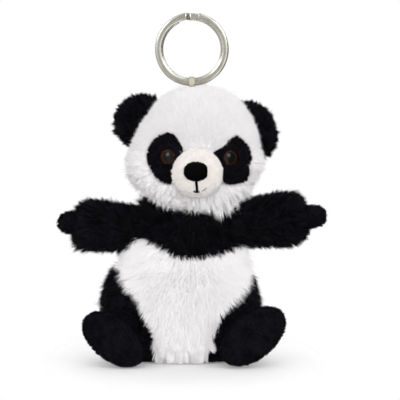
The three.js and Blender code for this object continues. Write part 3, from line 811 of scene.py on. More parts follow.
def head_skin():
    """An egg that leans at its crown, narrows at its jaw and lifts at the left of its chin."""
    skin = egg(*SKIN_SIZE, HEAD + SKIN_SHIFT)
    x, z = skin.points[:, 0], skin.points[:, 2]
    rise = np.maximum(z - HEAD[2] - 5.0, 0)
    left = LEFT_LEAN * rise - LEFT_FALL * np.maximum(rise - 15, 0)
    x += np.where(x < HEAD[0] - 3, left, CROWN_LEAN * rise)
    jowl = np.where(x > HEAD[0], JOWL_RIGHT, JOWL_LEFT)
    x -= jowl * (x - HEAD[0]) * np.clip(HEAD[2] + 2.0 - z, 0, 14)
    low_left = np.clip((HEAD[0] + 6 - x) / 22, 0, 1) * np.clip((HEAD[2] - 5 - z) / 8, 0, 1)
    z += CHIN_RISE * low_left ** 2
    return skin


def on_face(across, up):
    """A point of the CAD face across and up from the head's middle, and the way out of it."""
    height = CROWN if up > 0 else JAW
    out = math.sqrt(1 - (across / HALF_WIDTH) ** 2 - (up / height) ** 2)
    point = np.array([across, -HALF_DEPTH * out, up])
    way = unit(point / np.array([HALF_WIDTH, HALF_DEPTH, height]) ** 2)
    return HEAD + point, way


def patch_outline(side, margin=0.0):
    """The eye patch seen from the front, as a closed polygon in the part's x and z."""
    corners = np.array([*PATCHES[side], PATCHES[side][0]], float)
    smooth = curve_through(corners, 90)[:-1]
    middle = smooth.mean(0)
    smooth = middle + (smooth - middle) * (1 + margin / 8.0)
    across, up = EYES[side]
    inwards = -math.copysign(PATCH_SHIFT, across)
    return smooth + np.array([HEAD[0] + across + inwards, HEAD[2] + up])


def inside_polygon(points, polygon):
    """Which points, as x and z, lie in a polygon."""
    x, z = points[:, 0][:, None], points[:, -1][:, None]
    x1, z1 = polygon[:, 0][None], polygon[:, 1][None]
    x2, z2 = np.roll(polygon[:, 0], -1)[None], np.roll(polygon[:, 1], -1)[None]
    crosses = (z1 > z) != (z2 > z)
    edge = x1 + (z - z1) / np.where(z2 == z1, 1e-9, z2 - z1) * (x2 - x1)
    return (crosses & (x < edge)).sum(1) % 2 == 1


def from_muzzle(points, margin):
    """Squared distance from the muzzle's middle seen from the front, 1 at its edge and margin."""
    flat = (points - MUZZLE)[:, [0, 2]] / (MUZZLE_HALF[[0, 2]] + margin)
    return (flat ** 2).sum(1)


def in_muzzle(points, margin):
    return (from_muzzle(points, margin) < 1) & (points[:, 1] < HEAD[1])


def face_region(points):
    """The front of the head without the muzzle, the patches and the fold beside the muzzle."""
    beside_muzzle = in_muzzle(points, 2.4) & (points[:, 2] > MUZZLE[2] - 4)
    brow = (points[:, 2] > MUZZLE[2] + 7.0) & (np.abs(points[:, 0] - MUZZLE[0]) < 8.5)
    left, right = (inside_polygon(points, patch_outline(side, 0.2)) for side in SIGN)
    on_patch = (points[:, 1] < HEAD[1] - 6) & (left | right)
    covered = in_muzzle(points, -0.8) | (beside_muzzle & ~brow) | on_patch
    return (points[:, 1] < HEAD_SEAM_Y) & ~covered


def face_length(points):
    """Pressed under the ring, short on the forehead, longer down the cheeks and at the chin."""
    x = points[:, 0]
    height = (points[:, 2] - HEAD[2]) / 10.0
    forehead, cheek = 3.0, 5.4
    chin = 5.0 + 3.2 * hill(x, 10.0, 10.0) + 2.2 * hill(x, -5.0, 6.5)
    chin = chin - 1.6 * np.clip((-12.0 - x) / 3, 0, 1) + 3.0 * hill(x, 23.5, 2.6)
    low = np.clip((0.8 - height) / 1.4, 0, 1)
    lower = np.clip((-0.4 - height) / 0.9, 0, 1)
    base = forehead + (cheek - forehead) * smooth_step(low)
    base = base + (chin - base) * smooth_step(lower)
    beard = 2.6 * hill(x, BEARD_TIP, 4.5) * lower
    narrow = 1 - 0.22 * np.clip((x - HEAD[0] - 16) / 8, 0, 1) * np.clip(-height, 0, 1)
    pressed = 1 - 0.5 * hill(x, RING[0], 7.5) * np.clip((height - 2.5) / 0.4, 0, 1)
    beside_muzzle = np.clip(1.35 - from_muzzle(points, 3.0), 0, 1)
    return (base * narrow * pressed + beard) * (1 - 0.4 * beside_muzzle)


def face_clump(points):
    """Loose on the cheeks and drawn into locks along the beard."""
    return 0.42 + 0.08 * np.clip((HEAD[2] - 6 - points[:, 2]) / 7, 0, 1)


def face_painted_light(points):
    """Painted light: much lighter under the chin, lifting the shade the locks cast on one another,
    and a little lighter over all the cheeks.
    """
    return 12 * np.clip((HEAD[2] - 6 - points[:, 2]) / 6, 0, 1) + 2


def face_nap(points):
    """Combed away from the nose, and downwards under the cheeks."""
    way = unit(points - (MUZZLE + np.array([0.0, -2.0, 4.0])))
    low = np.clip((HEAD[2] - 2 - points[:, 2]) / 11.0, 0, 1)[:, None]
    return way + low * np.array([0.15, -0.35, -1.0])


# two coats of pile grow through each other: the number, name and share of the length of each
COATS = [(0, "under", 0.86), (1, "over", 1.04)]


def make_head():
    filling = egg(23.2, 20.0, 27.6, 14.8, HEAD, 32, 48)
    make_piece("head_filling", filling.solid(), FIBRE, "head", "head_stuffing", fill=0.85)
    skin = head_skin()
    front = lambda p: p[:, 1] < HEAD_SEAM_Y - 0.1
    back = lambda p: p[:, 1] > HEAD_SEAM_Y + 0.1
    make_panel("face_cloth", skin, front, HEAD_CLOTH, WHITE_CLOTH, "head", "face_panel")
    make_panel("head_back_cloth", skin, back, HEAD_CLOTH, WHITE_CLOTH, "head", "head_back_panel")
    brow = HEAD[2] + 5
    forehead = lambda p: face_region(p) & (p[:, 2] > brow)
    cheeks = lambda p: face_region(p) & (p[:, 2] <= brow)
    for number, coat, share in COATS:
        # shade=-7 paints the forehead darker: painted shade against the stronger light it gets from
        # above
        make_pile(
            f"forehead_{coat}_pile", skin, forehead, 16000, face_length, face_nap, WHITE_PILE,
            "head", seed=11 + number, trim=share, lean=60, width=0.24, clump=0.2, clump_size=1.1,
            sway=0.12, stray=0.06, streak=2, patches=(8.0, 3.0), shade=-7,
        )
        make_pile(
            f"cheek_{coat}_pile", skin, cheeks, 11800, face_length, face_nap, WHITE_PILE, "head",
            seed=13 + number, trim=share, lean=54, width=0.27, segments=3, clump=face_clump,
            clump_size=1.05, sway=0.12, stray=0.11, guard=0.2, ragged=0.18, streak=5,
            shade=face_painted_light,
        )
    make_pile(
        "head_back_pile", skin, lambda p: p[:, 1] >= HEAD_SEAM_Y, 18500, 4.6, (0, 0.35, -1),
        WHITE_PILE, "head", seed=15, lean=60, width=0.32, clump=0.25, clump_size=1.5, sway=0.2,
        stray=0.14, ragged=0.12, streak=7,
    )


def make_eye_patch(side):
    """A velour patch: a thin pad over the face with a short black pile."""
    base = egg(*(HEAD_SIZE - PATCH_INSET), HEAD, 150, 220)
    outline = patch_outline(side)
    eye = HEAD[[0, 2]] + np.array(EYES[side])
    in_front = lambda p: (p[:, 1] < HEAD[1] - 6) & ~in_muzzle(p, -1.0)
    cut = lambda p: inside_polygon(p, outline) & in_front(p)
    from_eye = lambda p: np.hypot(p[:, 0] - eye[0], p[:, 2] - eye[1])
    by_rim = lambda p: from_eye(p) < EYE_RADIUS + 1.3

    def round_eye(points):
        """Outwards over the patch, but in over the rim of the eye close to it."""
        way = points - np.array([eye[0], HEAD[1] - 18, eye[1]])
        return unit(way) * np.where(by_rim(points), -1.0, 1.0)[:, None]

    make_panel(
        f"eye_patch_{side}_cloth", base, cut, PATCH_THICKNESS, VELOUR_CLOTH, "head",
        f"eye_patch_{side}",
    )
    make_pile(
        f"eye_patch_{side}_pile", base, lambda p: cut(p) & (from_eye(p) > EYE_RADIUS - 0.5),
        14000, lambda p: np.where(by_rim(p), 2.3, 1.8), round_eye, VELOUR_PILE, "head",
        seed=20 + SIDE_SEED[side], lean=40, width=0.24, clump=0.25, clump_size=0.9, ragged=0.12,
        streak=6,
    )


def make_eye(side):
    """A low dome with a rounded rim, on a shaft that goes into the head."""
    point, way = on_face(*EYES[side])
    slope = np.linspace(0.0, math.pi / 2 - 0.03, 18)
    outline = [(EYE_SHAFT, -6.5), (EYE_SHAFT, -0.9), (EYE_RADIUS - 0.7, -0.7), (EYE_RADIUS, -0.2)]
    outline += [(EYE_RADIUS * math.cos(s), EYE_DOME * math.sin(s)) for s in slope]
    form = Form(lathe(np.array(outline), 48))
    across = unit(np.cross(Z, way))
    turn = Matrix(np.stack([across, np.cross(way, across), way], 1).tolist()).to_4x4()
    place = Matrix.Translation((point - way * EYE_SUNK) * MM) @ turn
    make_piece(f"eye_{side}_moulded", form.solid(), EYE, "head", f"eye_{side}", place=place)


def muzzle_egg(inset, rows, around):
    wide, deep, high = MUZZLE_HALF - inset
    return egg(wide, deep, high, high, MUZZLE, rows, around)


def make_muzzle():
    front = lambda p: p[:, 1] < MUZZLE[1] + 2.5
    filling = muzzle_egg(1.4, 20, 32)
    make_piece("muzzle_filling", filling.solid(), FIBRE, "head", "muzzle_stuffing", fill=0.9)
    skin = muzzle_egg(0.4, 48, 72)
    make_panel("muzzle_cloth", skin, front, HEAD_CLOTH, CREAM_CLOTH, "head", "muzzle_cover")
    nose = MUZZLE + np.array([0, -9, -1])
    make_pile(
        "muzzle_pile", skin, front, 18500, 1.25, lambda p: unit(p - nose), CREAM_PILE, "head",
        seed=31, lean=52, width=0.26, clump=0.3, clump_size=0.9, sway=0.4, ragged=0.15, streak=8,
        guard=0.2,
    )


def muzzle_front(x, z):
    """How far forward the muzzle's pile reaches."""
    across, up = x - MUZZLE[0], z - MUZZLE[2]
    share = 1 - (across / MUZZLE_HALF[0]) ** 2 - (up / MUZZLE_HALF[2]) ** 2
    return MUZZLE[1] - (MUZZLE_HALF[1] + 0.1) * np.sqrt(np.maximum(share, 0.05))


def make_nose():
    """Satin stitch: upright threads side by side over a low oval pad."""
    rng = np.random.default_rng(41)
    low, high = box_mm("nose")
    middle = (low + high) / 2
    half_width, half_height, depth = 4.85, 3.75, 1.9
    pitch, thread = 0.36, 0.23
    stitches = []
    for row in range(int(half_width * 2 / pitch)):
        x = -half_width + (row + 0.5) * pitch
        reach = half_height * math.sqrt(max(1 - (abs(x) / half_width) ** 2.3, 0))
        reach = reach * rng.uniform(0.96, 1.04)
        z = np.linspace(-reach, reach, 14)
        swell = 1 - (x / half_width) ** 2 * 0.9 - (z / half_height) ** 2 * 0.9
        swell = np.sqrt(np.maximum(swell, 0.0))
        y = muzzle_front(middle[0] + x, middle[2] + z) - depth * swell * 0.75
        y[[0, -1]] += 0.5
        path = np.stack([middle[0] + x + 0.05 * np.sin(z * 2 + row), y, middle[2] + z], -1)
        stitches.append(tube(path, thread))
    pad_place = np.array([middle[0], muzzle_front(middle[0], middle[2]) + 0.7, middle[2]])
    high = half_height - 0.2
    pad = egg(half_width - 0.2, depth + 0.6, high, high, pad_place, 20, 32)
    make_piece("nose_stitches", joined([*stitches, pad.solid()]), THREAD, "head", "nose")


def twisted_thread(path, thread, turns):
    """Two plies wound round each other along a path."""
    along = unit(np.gradient(path, axis=0))
    side = unit(np.cross(along, np.broadcast_to(Y, along.shape)))
    other = np.cross(along, side)
    angle = np.linspace(0, 2 * math.pi * turns, len(path))[:, None]
    plies = []
    for phase in (0.0, math.pi):
        offset = side * np.cos(angle + phase) + other * np.sin(angle + phase)
        plies.append(tube(path + thread * 0.5 * offset, thread * 0.55))
    return plies


def make_mouth():
    """An upright stitch, a short curved one at its foot and a loose end at the right."""
    low, high = box_mm("mouth_stitch")
    middle = (low[0] + high[0]) / 2 + 0.25
    top, bottom = high[2], low[2] + 0.4

    def laid(x, z, stand=0.15):
        return np.stack([x, muzzle_front(x, z) - stand, z], -1)

    z = np.linspace(top, bottom, 26)
    foot = np.linspace(-1.15, 1.05, 14)
    curve = np.linspace(0, 1, 16)
    loose_end = laid(middle + 2.3 + 1.5 * curve, bottom + 0.35 + 1.3 * curve ** 1.4, 0.1)
    stitches = [
        *twisted_thread(laid(middle + 0.12 * np.sin(z), z), 0.58, 3.0),
        *twisted_thread(laid(middle + foot, bottom - 0.05 + 0.25 * foot ** 2), 0.48, 1.5),
        *twisted_thread(loose_end, 0.17, 2),
    ]
    make_piece("mouth_thread", joined(stitches), THREAD, "head", "mouth_stitch")


# ---------------------------------------------------------------- ears

# middle across and up from the head's, way of the long axis, half sizes along and across it
EARS = {
    "left": (-21.5, 16.5, (0.52, 0.85), 8.7, 8.2),
    "right": (22.9, 13.0, (0.377, -0.927), 9.3, 7.0),
}
EAR_HALF_DEPTH = 2.6
EAR_DISH, EAR_DISH_RADIUS = 1.5, 6.0  # hollow in the front of an ear


def make_ear(side):
    across, up, axis, half_along, half_across = EARS[side]
    body = f"ear_{side}"
    centre = np.array([HEAD[0] + across, HEAD_SEAM_Y, HEAD[2] + up])
    cushion = egg(half_across, EAR_HALF_DEPTH, half_along, half_along, np.zeros(3), 40, 60)
    points = cushion.points
    from_middle = (points[:, [0, 2]] ** 2).sum(1) / EAR_DISH_RADIUS ** 2
    dish = EAR_DISH * np.clip(1 - from_middle, 0, 1) ** 2
    points[:, 1] += np.where(points[:, 1] < 0, dish, 0)
    long_way = np.array([axis[0], 0.0, axis[1]])
    cushion.points = points @ np.stack([np.cross(Y, long_way), Y, long_way]) + centre
    outward = unit(np.array([across, 0, up * 0.8]))
    pivot = joint_mm(f"ear_fold_{side}")
    beyond = lambda p: (p - pivot) @ outward > -3.2
    faces = [
        ("front", lambda p: (p[:, 1] < HEAD_SEAM_Y) & beyond(p), 4.3, 50),
        ("back", lambda p: (p[:, 1] >= HEAD_SEAM_Y) & beyond(p), 4.6, 60),
    ]
    for face, region, _, _ in faces:
        node = f"ear_{face}_{side}"
        make_panel(f"{node}_cloth", cushion, region, 0.6, BLACK_CLOTH, body, node)
    base = centre - outward * 6.0
    for face, region, length, seed in faces:
        make_pile(
            f"ear_{face}_{side}_pile", cushion, region, 7500, length, lambda p: unit(p - base),
            BLACK_PILE, body, seed=seed + SIDE_SEED[side], lean=58, width=0.28, segments=3,
            clump=0.5, clump_size=0.8, guard=0.22, ragged=0.15, stray=0.13, streak=9,
        )


# ---------------------------------------------------------------- torso

TORSO_FLATTENING = 0.8
TORSO = [
    (20, 0.6, 0.0), (25.6, 4.5, 0.0), (28.7, 14, -0.5), (29.8, 24, -1.2), (27.2, 33, -1.2),
    (24.7, 38, 0.3), (23.1, 44, 0.9), (21.0, 50, 2.4), (17.8, 56, 2.4), (14.0, 59.8, 0.2),
    (4.0, 61.5, -1.0),
]  # half width, height and middle of the skin
BAND_EDGE = np.array([
    (-40, 54), (-16, 50.4), (-9.2, 47.6), (-2.5, 43.8), (2.5, 43.0), (7.5, 43.4), (13, 44.8),
    (18, 46.0), (21.7, 47.6), (26, 50), (50, 57),
])  # x, and the height of the yoke's lower edge there
HIP_EDGE = {
    "left": np.array([
        (2, -9.5), (8, -10.2), (12.5, -11.1), (19, -13.1), (23.2, -14.8), (28.3, -16.6),
        (30.5, -20.0), (34, -22.3),
    ]),
    "right": np.array([
        (2, 9.2), (8, 9.4), (12, 10.6), (16, 12.8), (21.5, 14.2), (24.5, 16.8), (27, 19.9),
        (29.5, 22.2), (36, 25.2),
    ]),
}  # height, and the x of the hip's inner edge there
HIP_TOP = {"left": 37.2, "right": 36.4}
SEAT_TOP = 1.2
TORSO_CLOTH = 0.8


def torso_form(inset, rows=72, around=120):
    """The torso's skin, or a smaller form inside it."""
    outline = curve_through(TORSO, rows)
    way = unit(np.gradient(outline[:, :2], axis=0))
    narrowed = outline[:, :2] + inset * np.stack([-way[:, 1], way[:, 0]], -1)
    narrowed[:, 0] = np.maximum(narrowed[:, 0], 0.5)
    rings = lathe(narrowed, around, 1.0, TORSO_FLATTENING)
    rings[..., 0] += outline[:, 2:3]
    rings[..., 2] = np.maximum(rings[..., 2], 0.6)
    return Form(rings)


def above_band(points):
    return points[:, 2] > np.interp(points[:, 0], BAND_EDGE[:, 0], BAND_EDGE[:, 1])


def on_hip(points, side):
    limit = np.interp(points[:, 2], HIP_EDGE[side][:, 0], HIP_EDGE[side][:, 1])
    beyond = points[:, 0] < limit if side == "left" else points[:, 0] > limit
    return beyond & (points[:, 2] < HIP_TOP[side]) & (points[:, 2] > SEAT_TOP)


def white(points):
    hips = on_hip(points, "left") | on_hip(points, "right")
    return ~above_band(points) & ~hips & (points[:, 2] > SEAT_TOP)


def white_front(points):
    return (points[:, 1] < 0) & white(points)


def white_back(points):
    return (points[:, 1] >= 0) & white(points)


def belly_nap(points):
    """Combed outwards and down from the middle of the chest."""
    return unit(points - np.array([5.0, -10.0, 48.0])) - 0.45 * Z


def belly_length(points):
    """Longest at the seat and shortest under the yoke."""
    low = np.clip((16 - points[:, 2]) / 14.0, 0, 1)
    high = np.clip((points[:, 2] - 31) / 14.0, 0, 1)
    return 6.2 + 1.6 * low - 1.6 * high


def belly_clump(points):
    """Loose in the middle and drawn into locks that hang down to the seat."""
    return 0.14 + 0.42 * np.clip((15 - points[:, 2]) / 11, 0, 1)


def left_shoulder(points):
    """The tuft of black that stands up beside the left cheek."""
    return hill(points[:, 0], -11.0, 3.0) * np.clip((points[:, 2] - 54) / 4, 0, 1)


def yoke_nap(points):
    """Combed out and down from the neck, and up at the tuft."""
    way = unit(points - np.array([4.0, 0.0, 62.0])) - 0.5 * Z
    return way + np.outer(left_shoulder(points), (-0.2, -0.1, 2.4))


def yoke_length(points):
    return 4.8 + 5.5 * left_shoulder(points)


def make_torso():
    filling = torso_form(1.8, 30, 48)
    stands_for = ("body_stuffing", "pellet_pouch")
    make_piece("body_filling", filling.solid(), FIBRE, "torso", *stands_for, fill=0.8)
    skin = torso_form(0.0)
    panels = [
        ("chest_yoke", above_band, BLACK_CLOTH),
        ("belly_panel", white_front, WHITE_CLOTH),
        ("back_panel", white_back, WHITE_CLOTH),
        ("hip_panel_left", lambda p: on_hip(p, "left"), BLACK_CLOTH),
        ("hip_panel_right", lambda p: on_hip(p, "right"), BLACK_CLOTH),
        ("seat_panel", lambda p: p[:, 2] <= SEAT_TOP, VELOUR_CLOTH),
    ]
    for node, region, look in panels:
        make_panel(f"{node}_cloth", skin, region, TORSO_CLOTH, look, "torso", node)

    belly = lambda p: white_front(p) & (p[:, 2] > 3.0)
    fringe = lambda p: white_front(p) & (p[:, 2] > 4.0) & (p[:, 2] < 11.5)
    fringe_nap = lambda p: p * (0.012, 0, 0) + (0, -0.2, -1)
    for number, coat, share in COATS:
        make_pile(
            f"belly_{coat}_pile", skin, belly, 11800, belly_length, belly_nap, BELLY_PAINTED_LIGHT_PILE,
            "torso", seed=71 + number, trim=share, lean=63, width=0.28, segments=3,
            clump=belly_clump, clump_size=1.7, sway=0.12, stray=0.10, guard=0.15, floor=0.15,
            ragged=0.05, streak=3, patches=(6.0, 5.0),
        )
    make_pile(
        "belly_fringe_pile", skin, fringe, 7000, 6.6, fringe_nap, BELLY_PAINTED_LIGHT_PILE, "torso", seed=73,
        lean=52, width=0.28, segments=3, clump=0.68, clump_size=2.2, sway=0.15, stray=0.14,
        floor=0.15, ragged=0.25, streak=12,
    )
    make_pile(
        "back_pile", skin, white_back, 11800, belly_length, -Z, WHITE_PILE, "torso", seed=74,
        lean=58, width=0.4, segments=3, clump=0.3, clump_size=1.8, sway=0.25, stray=0.14,
        floor=0.15, ragged=0.14, streak=7,
    )
    make_pile(
        "chest_yoke_pile", skin, above_band, 11800, yoke_length, yoke_nap, BLACK_PILE, "torso",
        seed=75, lean=57, width=0.33, segments=3, clump=0.38, clump_size=1.2, ragged=0.16,
        streak=9, shade=-8,
    )
    for side, length, out in (("left", 4.9, -0.5), ("right", 5.0, 0.3)):
        make_pile(
            f"hip_{side}_pile", skin, lambda p: on_hip(p, side), 8000, length, (out, -0.1, -1),
            BLACK_PILE, "torso", seed=76 + SIDE_SEED[side], lean=46, width=0.36, segments=3,
            clump=0.4, clump_size=1.3, floor=0.15, ragged=0.14, streak=9, stray=0.08, guard=0.06,
        )


# ---------------------------------------------------------------- limbs

# outlines of radius and distance along the limb
SLEEVE = [
    (4.0, -5.0), (6.8, -2.5), (7.3, 4.0), (7.6, 12.0), (8.1, 18.5), (8.0, 23.8), (5.4, 27.0),
    (0.4, 27.8),
]
PAW = [(0.5, 17.0), (4.2, 18.5), (4.2, 26.0), (4.0, 31.0), (3.4, 34.2), (2.0, 35.9), (0.4, 36.4)]
THIGH = [
    (4.0, -5.0), (6.6, -1.0), (7.6, 6.0), (8.4, 14.0), (8.8, 19.0), (8.4, 21.2), (7.0, 21.8),
]
SOLE = [
    (0.6, 18.0), (9.5, 18.6), (11.6, 20.6), (12.0, 22.0), (11.0, 23.6), (7.5, 24.9), (3.5, 25.4),
    (0.5, 25.5),
]
LIMB_CLOTH = 0.8

ARM_FORWARD, ARM_RISE = math.radians(8), math.radians(5.5)
SHOULDER_RADIUS = 5.0
SLEEVE_LIFT = {"left": -1.4, "right": 1.2}
SLEEVE_GIRTH = {"left": 1.01, "right": 1.09}
SLEEVE_LENGTH = {"left": 1.03, "right": 0.98}
CUFF_TUFT = {"left": 1.0, "right": 0.0}  # extra length of the fur under the cuff
PAW_LIFT = {"left": -1.2, "right": 1.3}

LEG_SPLAY, LEG_DROP = math.radians(15), math.radians(6.5)
SOLE_RADIUS, SOLE_DISTANCE = 12.0, 22.0  # of the sole's widest ring in its outline
SOLE_SIZE = {"left": (13.8, 8.2, 37.0), "right": (14.5, 8.8, 38.7)}  # half sizes and tilt
SOLE_MIDDLE = {"left": (-27.6, 11.5), "right": (27.9, 12.8)}  # x and z
THIGH_SHIFT = {"left": 0.6, "right": -0.2}  # of the thigh towards the body


def limb_way(sign, turn, rise):
    """The way of a limb that points sideways, turned towards the front and raised."""
    across, forward = sign * math.cos(turn), -math.sin(turn)
    return np.array([across * math.cos(rise), forward * math.cos(rise), math.sin(rise)])


def limb_nap(pivot, along, out):
    """Combed along a limb and a little outwards."""
    return lambda p: unit(p - pivot - np.outer((p - pivot) @ along, along)) * out + along


def make_arm(side):
    body = f"arm_{side}"
    pivot = joint_mm(f"arm_swing_{side}")
    along = limb_way(SIGN[side], ARM_FORWARD, ARM_RISE)
    distance = lambda p: (p - pivot) @ along
    nap = limb_nap(pivot, along, 0.5)
    socket = egg(*[SHOULDER_RADIUS] * 4, pivot, 20, 32)
    make_piece(
        f"shoulder_{side}_filling", socket.solid(), BLACK_CLOTH, f"shoulder_{side}",
        f"shoulder_core_{side}", fill=0.7,
    )

    girth = SLEEVE_GIRTH[side]
    outline = curve_through(SLEEVE, 44) * (1.0, SLEEVE_LENGTH[side])
    start = pivot + Z * SLEEVE_LIFT[side]
    sleeve = Form(aimed(lathe(outline, 60, girth, girth), start, along))
    inside = sleeve.grown(-1.2).solid()
    node = f"arm_sleeve_{side}"
    make_piece(f"arm_{side}_filling", inside, FIBRE, body, f"arm_stuffing_{side}", fill=0.7)
    everywhere = lambda p: np.ones(len(p), bool)
    make_panel(f"{node}_cloth", sleeve, everywhere, LIMB_CLOTH, BLACK_CLOTH, body, node)

    def length(points):
        """Longer under the cuff."""
        cuff = np.clip((distance(points) - 19) / 5, 0, 1)
        return 4.3 + CUFF_TUFT[side] * cuff * np.clip((pivot[2] - points[:, 2]) / 5, 0, 1)

    make_pile(
        f"{node}_pile", sleeve, lambda p: distance(p) > -1.0, 12000, length, nap, BLACK_PILE,
        body, seed=80 + SIDE_SEED[side], lean=52, width=0.33, segments=3, clump=0.56,
        clump_size=1.15, guard=0.12, ragged=0.16, stray=0.13, streak=9,
    )

    node = f"arm_paw_{side}"
    paw = Form(aimed(lathe(curve_through(PAW, 36), 48), pivot + Z * PAW_LIFT[side], along))
    make_piece(f"{node}_cloth", paw.solid(), VELOUR_CLOTH, body, node, fill=0.8)
    make_pile(
        f"{node}_pile", paw, lambda p: distance(p) > 20, 9000, 1.7, nap, VELOUR_PILE, body,
        seed=90 + SIDE_SEED[side], lean=50, width=0.28, clump=0.45, clump_size=0.9, ragged=0.2,
        streak=9, guard=0.2,
    )


def make_leg(side):
    body = f"leg_{side}"
    pivot = joint_mm(f"leg_lift_{side}")
    along = limb_way(SIGN[side], math.pi / 2 - LEG_SPLAY, -LEG_DROP)
    distance = lambda p: (p - pivot) @ along
    nap = limb_nap(pivot, along, 0.4)
    half_length, half_width, tilt = SOLE_SIZE[side]
    roll = SIGN[side] * math.radians(tilt)
    level = pivot + along * SOLE_DISTANCE
    shift = np.array([SOLE_MIDDLE[side][0] - level[0], 0.0, SOLE_MIDDLE[side][1] - level[2]])

    def limb(outline, around, inward=0.0):
        """An oval limb that bends from its joint to the sole's place and stays off the floor."""
        wide, high = half_length / SOLE_RADIUS, half_width / SOLE_RADIUS
        rings = lathe(outline, around, wide, high, roll)
        far = np.clip(rings[..., 2:3] / SOLE_DISTANCE, 0, 1)
        placed = aimed(rings, pivot, along) + far * shift - SIGN[side] * inward * X
        placed[..., 2] = np.maximum(placed[..., 2], 0.5)
        return Form(placed)

    thigh = limb(curve_through(THIGH, 40), 64, THIGH_SHIFT[side])
    inside = thigh.grown(-1.4).solid()
    node = f"thigh_cover_{side}"
    make_piece(f"leg_{side}_filling", inside, FIBRE, body, f"leg_stuffing_{side}", fill=0.75)
    make_piece(f"{node}_cloth", thigh.solid(), BLACK_CLOTH, body, node)
    make_pile(
        f"thigh_{side}_pile", thigh, lambda p: (distance(p) > 0.0) & (distance(p) < 21.4),
        11500, 3.4, nap, BLACK_PILE, body, seed=100 + SIDE_SEED[side], lean=50, width=0.32,
        segments=3, clump=0.5, clump_size=1.4, floor=0.1, ragged=0.2, stray=0.14, streak=9,
    )

    node = f"foot_sole_{side}"
    sole = limb(curve_through(SOLE, 44), 72)
    make_piece(f"{node}_cloth", sole.solid(), VELOUR_CLOTH, body, node, fill=0.8)
    make_pile(
        f"{node}_pile", sole, lambda p: distance(p) > 19.6, 16000, 1.25, nap, VELOUR_PILE, body,
        seed=110 + SIDE_SEED[side], lean=46, width=0.26, clump=0.35, clump_size=1.0, sway=0.9,
        floor=0.05, ragged=0.15, streak=8, guard=0.2, patches=(4.5, 24.0),
    )


# ---------------------------------------------------------------- neck, ring and loop

def make_neck():
    core = egg(6.5, 6.5, 6.0, 6.0, NECK, 20, 32)
    make_piece("neck_filling", core.solid(), BLACK_CLOTH, "neck", "neck_core", fill=0.7)


RING_RADIUS = 15.0
RING_BAND = 2.9
COIL_THICKNESS, COIL_SPACING = 1.15, 0.15
COIL_PITCH = COIL_THICKNESS + COIL_SPACING
REAR_COIL_INSET = 0.42  # the rear coil is smaller, so that its edge shows inside the front one
RING_DROP = 0.25  # below the CAD ring, which the loop hangs with it
RING_START, RING_END = -245.0, 439.0  # degrees
RING_CRANK = (91.5, 101.5)  # degrees over which the wire crosses from coil to coil
WIRE_ROUNDING = 0.9  # power of the wire's oval section
WIRE_END = 0.72  # of the wire's size at its cut ends, which grow to full over 3 degrees


def make_ring():
    """Flattened wire with round edges, wound nearly twice and crossing over at the top."""
    low, high = box_mm("split_ring")
    level = high[2] - RING_RADIUS - RING_DROP
    centre = np.array([(low[0] + high[0]) / 2, RING[1], level])
    degrees = np.linspace(RING_START, RING_END, 840)
    share = np.clip((degrees - RING_CRANK[0]) / (RING_CRANK[1] - RING_CRANK[0]), 0, 1)
    rear = 1 - smooth_step(share)
    angle = np.radians(degrees)
    radial = np.stack([np.cos(angle), np.zeros_like(angle), np.sin(angle)], -1)
    radius = RING_RADIUS - RING_BAND / 2 - REAR_COIL_INSET * rear
    path = centre + radial * radius[:, None] + np.outer((rear - 0.5) * COIL_PITCH, Y)
    around = np.linspace(0, 2 * math.pi, 20, endpoint=False)
    section = np.stack([np.cos(around), np.sin(around)])
    section = np.sign(section) * np.abs(section) ** WIRE_ROUNDING
    tall, thick = section * np.array([[RING_BAND / 2], [COIL_THICKNESS / 2]])
    close = np.clip(np.minimum(degrees - RING_START, RING_END - degrees) / 3.0, 0, 1)
    taper = WIRE_END + (1 - WIRE_END) * np.sqrt(1 - (1 - close) ** 2)
    across = radial[:, None] * tall[None, :, None] + thick[None, :, None] * Y
    coil = Form(path[:, None] + taper[:, None, None] * across)
    make_piece("split_ring_coil", coil.solid(), NICKEL, "ring", "split_ring")


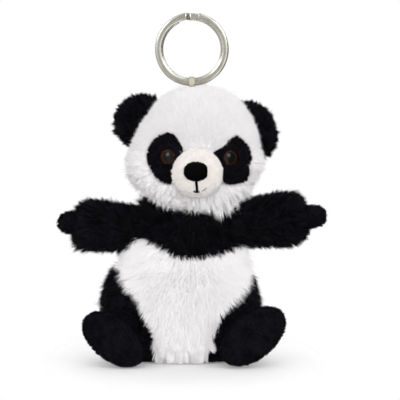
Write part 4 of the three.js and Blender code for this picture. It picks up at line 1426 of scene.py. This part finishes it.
LOOP_REACH = 1.95  # of the ribbon's middle from the middle of the wire
LOOP_HALF_WIDTH, LOOP_HALF_THICKNESS = 1.2, 0.26
LOOP_OPENING = 0.32  # radians each side of straight down, where the two ends leave the ring
LOOP_DEPTH = 3.5  # of the ends below the joint
LOOP_STEPS = 160


def make_loop():
    """A ribbed ribbon round both coils, folded into the seam of the head."""
    knot = joint_mm("loop_flop")
    wire = RING - RING_DROP * Z
    turn = np.linspace(-math.pi / 2 + LOOP_OPENING, 1.5 * math.pi - LOOP_OPENING, 60)
    loop = np.stack([np.zeros_like(turn), 0.92 * np.cos(turn), np.sin(turn)], -1) * LOOP_REACH
    loop = loop + wire
    start = np.linspace(knot + np.array([0, 0.35, -LOOP_DEPTH]), loop[0], 12)[:-1]
    finish = np.linspace(loop[-1], knot + np.array([0, -0.35, -LOOP_DEPTH]), 12)[1:]
    points = np.vstack([start[::4], loop[::6], loop[-1:], finish[3::4]])
    path = curve_through(points, LOOP_STEPS)
    along = unit(np.gradient(path, axis=0))
    outward = unit(np.cross(along, np.broadcast_to(X, along.shape)))
    ribs = 0.05 * np.sin(np.arange(LOOP_STEPS) * math.pi / 1.6)
    across = np.array([-1, -0.97, -0.4, 0.4, 0.97, 1, 0.97, 0.4, -0.4, -0.97])
    lift = np.array([0, 1, 0.9, 0.9, 1, 0, -1, -0.9, -0.9, -1])
    crowned = 0.28 * (1 - across ** 2)
    height = (LOOP_HALF_THICKNESS + ribs)[:, None] * lift[None] + crowned[None]
    sideways = (across * LOOP_HALF_WIDTH)[None, :, None] * X
    ribbon = Form(path[:, None] + sideways + height[..., None] * outward[:, None])
    make_piece("ribbon_loop_woven", ribbon.solid(), RIBBON, "loop", "ribbon_loop")


# ---------------------------------------------------------------- assembly

make_camera()
make_lamps()
make_world()
make_floor()
make_head()
make_muzzle()
make_nose()
make_mouth()
make_neck()
make_torso()
make_ring()
make_loop()
for side in SIGN:
    make_eye_patch(side)
    make_eye(side)
    make_ear(side)
    make_arm(side)
    make_leg(side)
    washer = frame["nodes"][f"eye_washer_{side}"]
    washer.data.materials.clear()
    washer.data.materials.append(MATERIALS["washer_plastic"])

bpy.context.scene.view_settings.view_transform = "Standard"
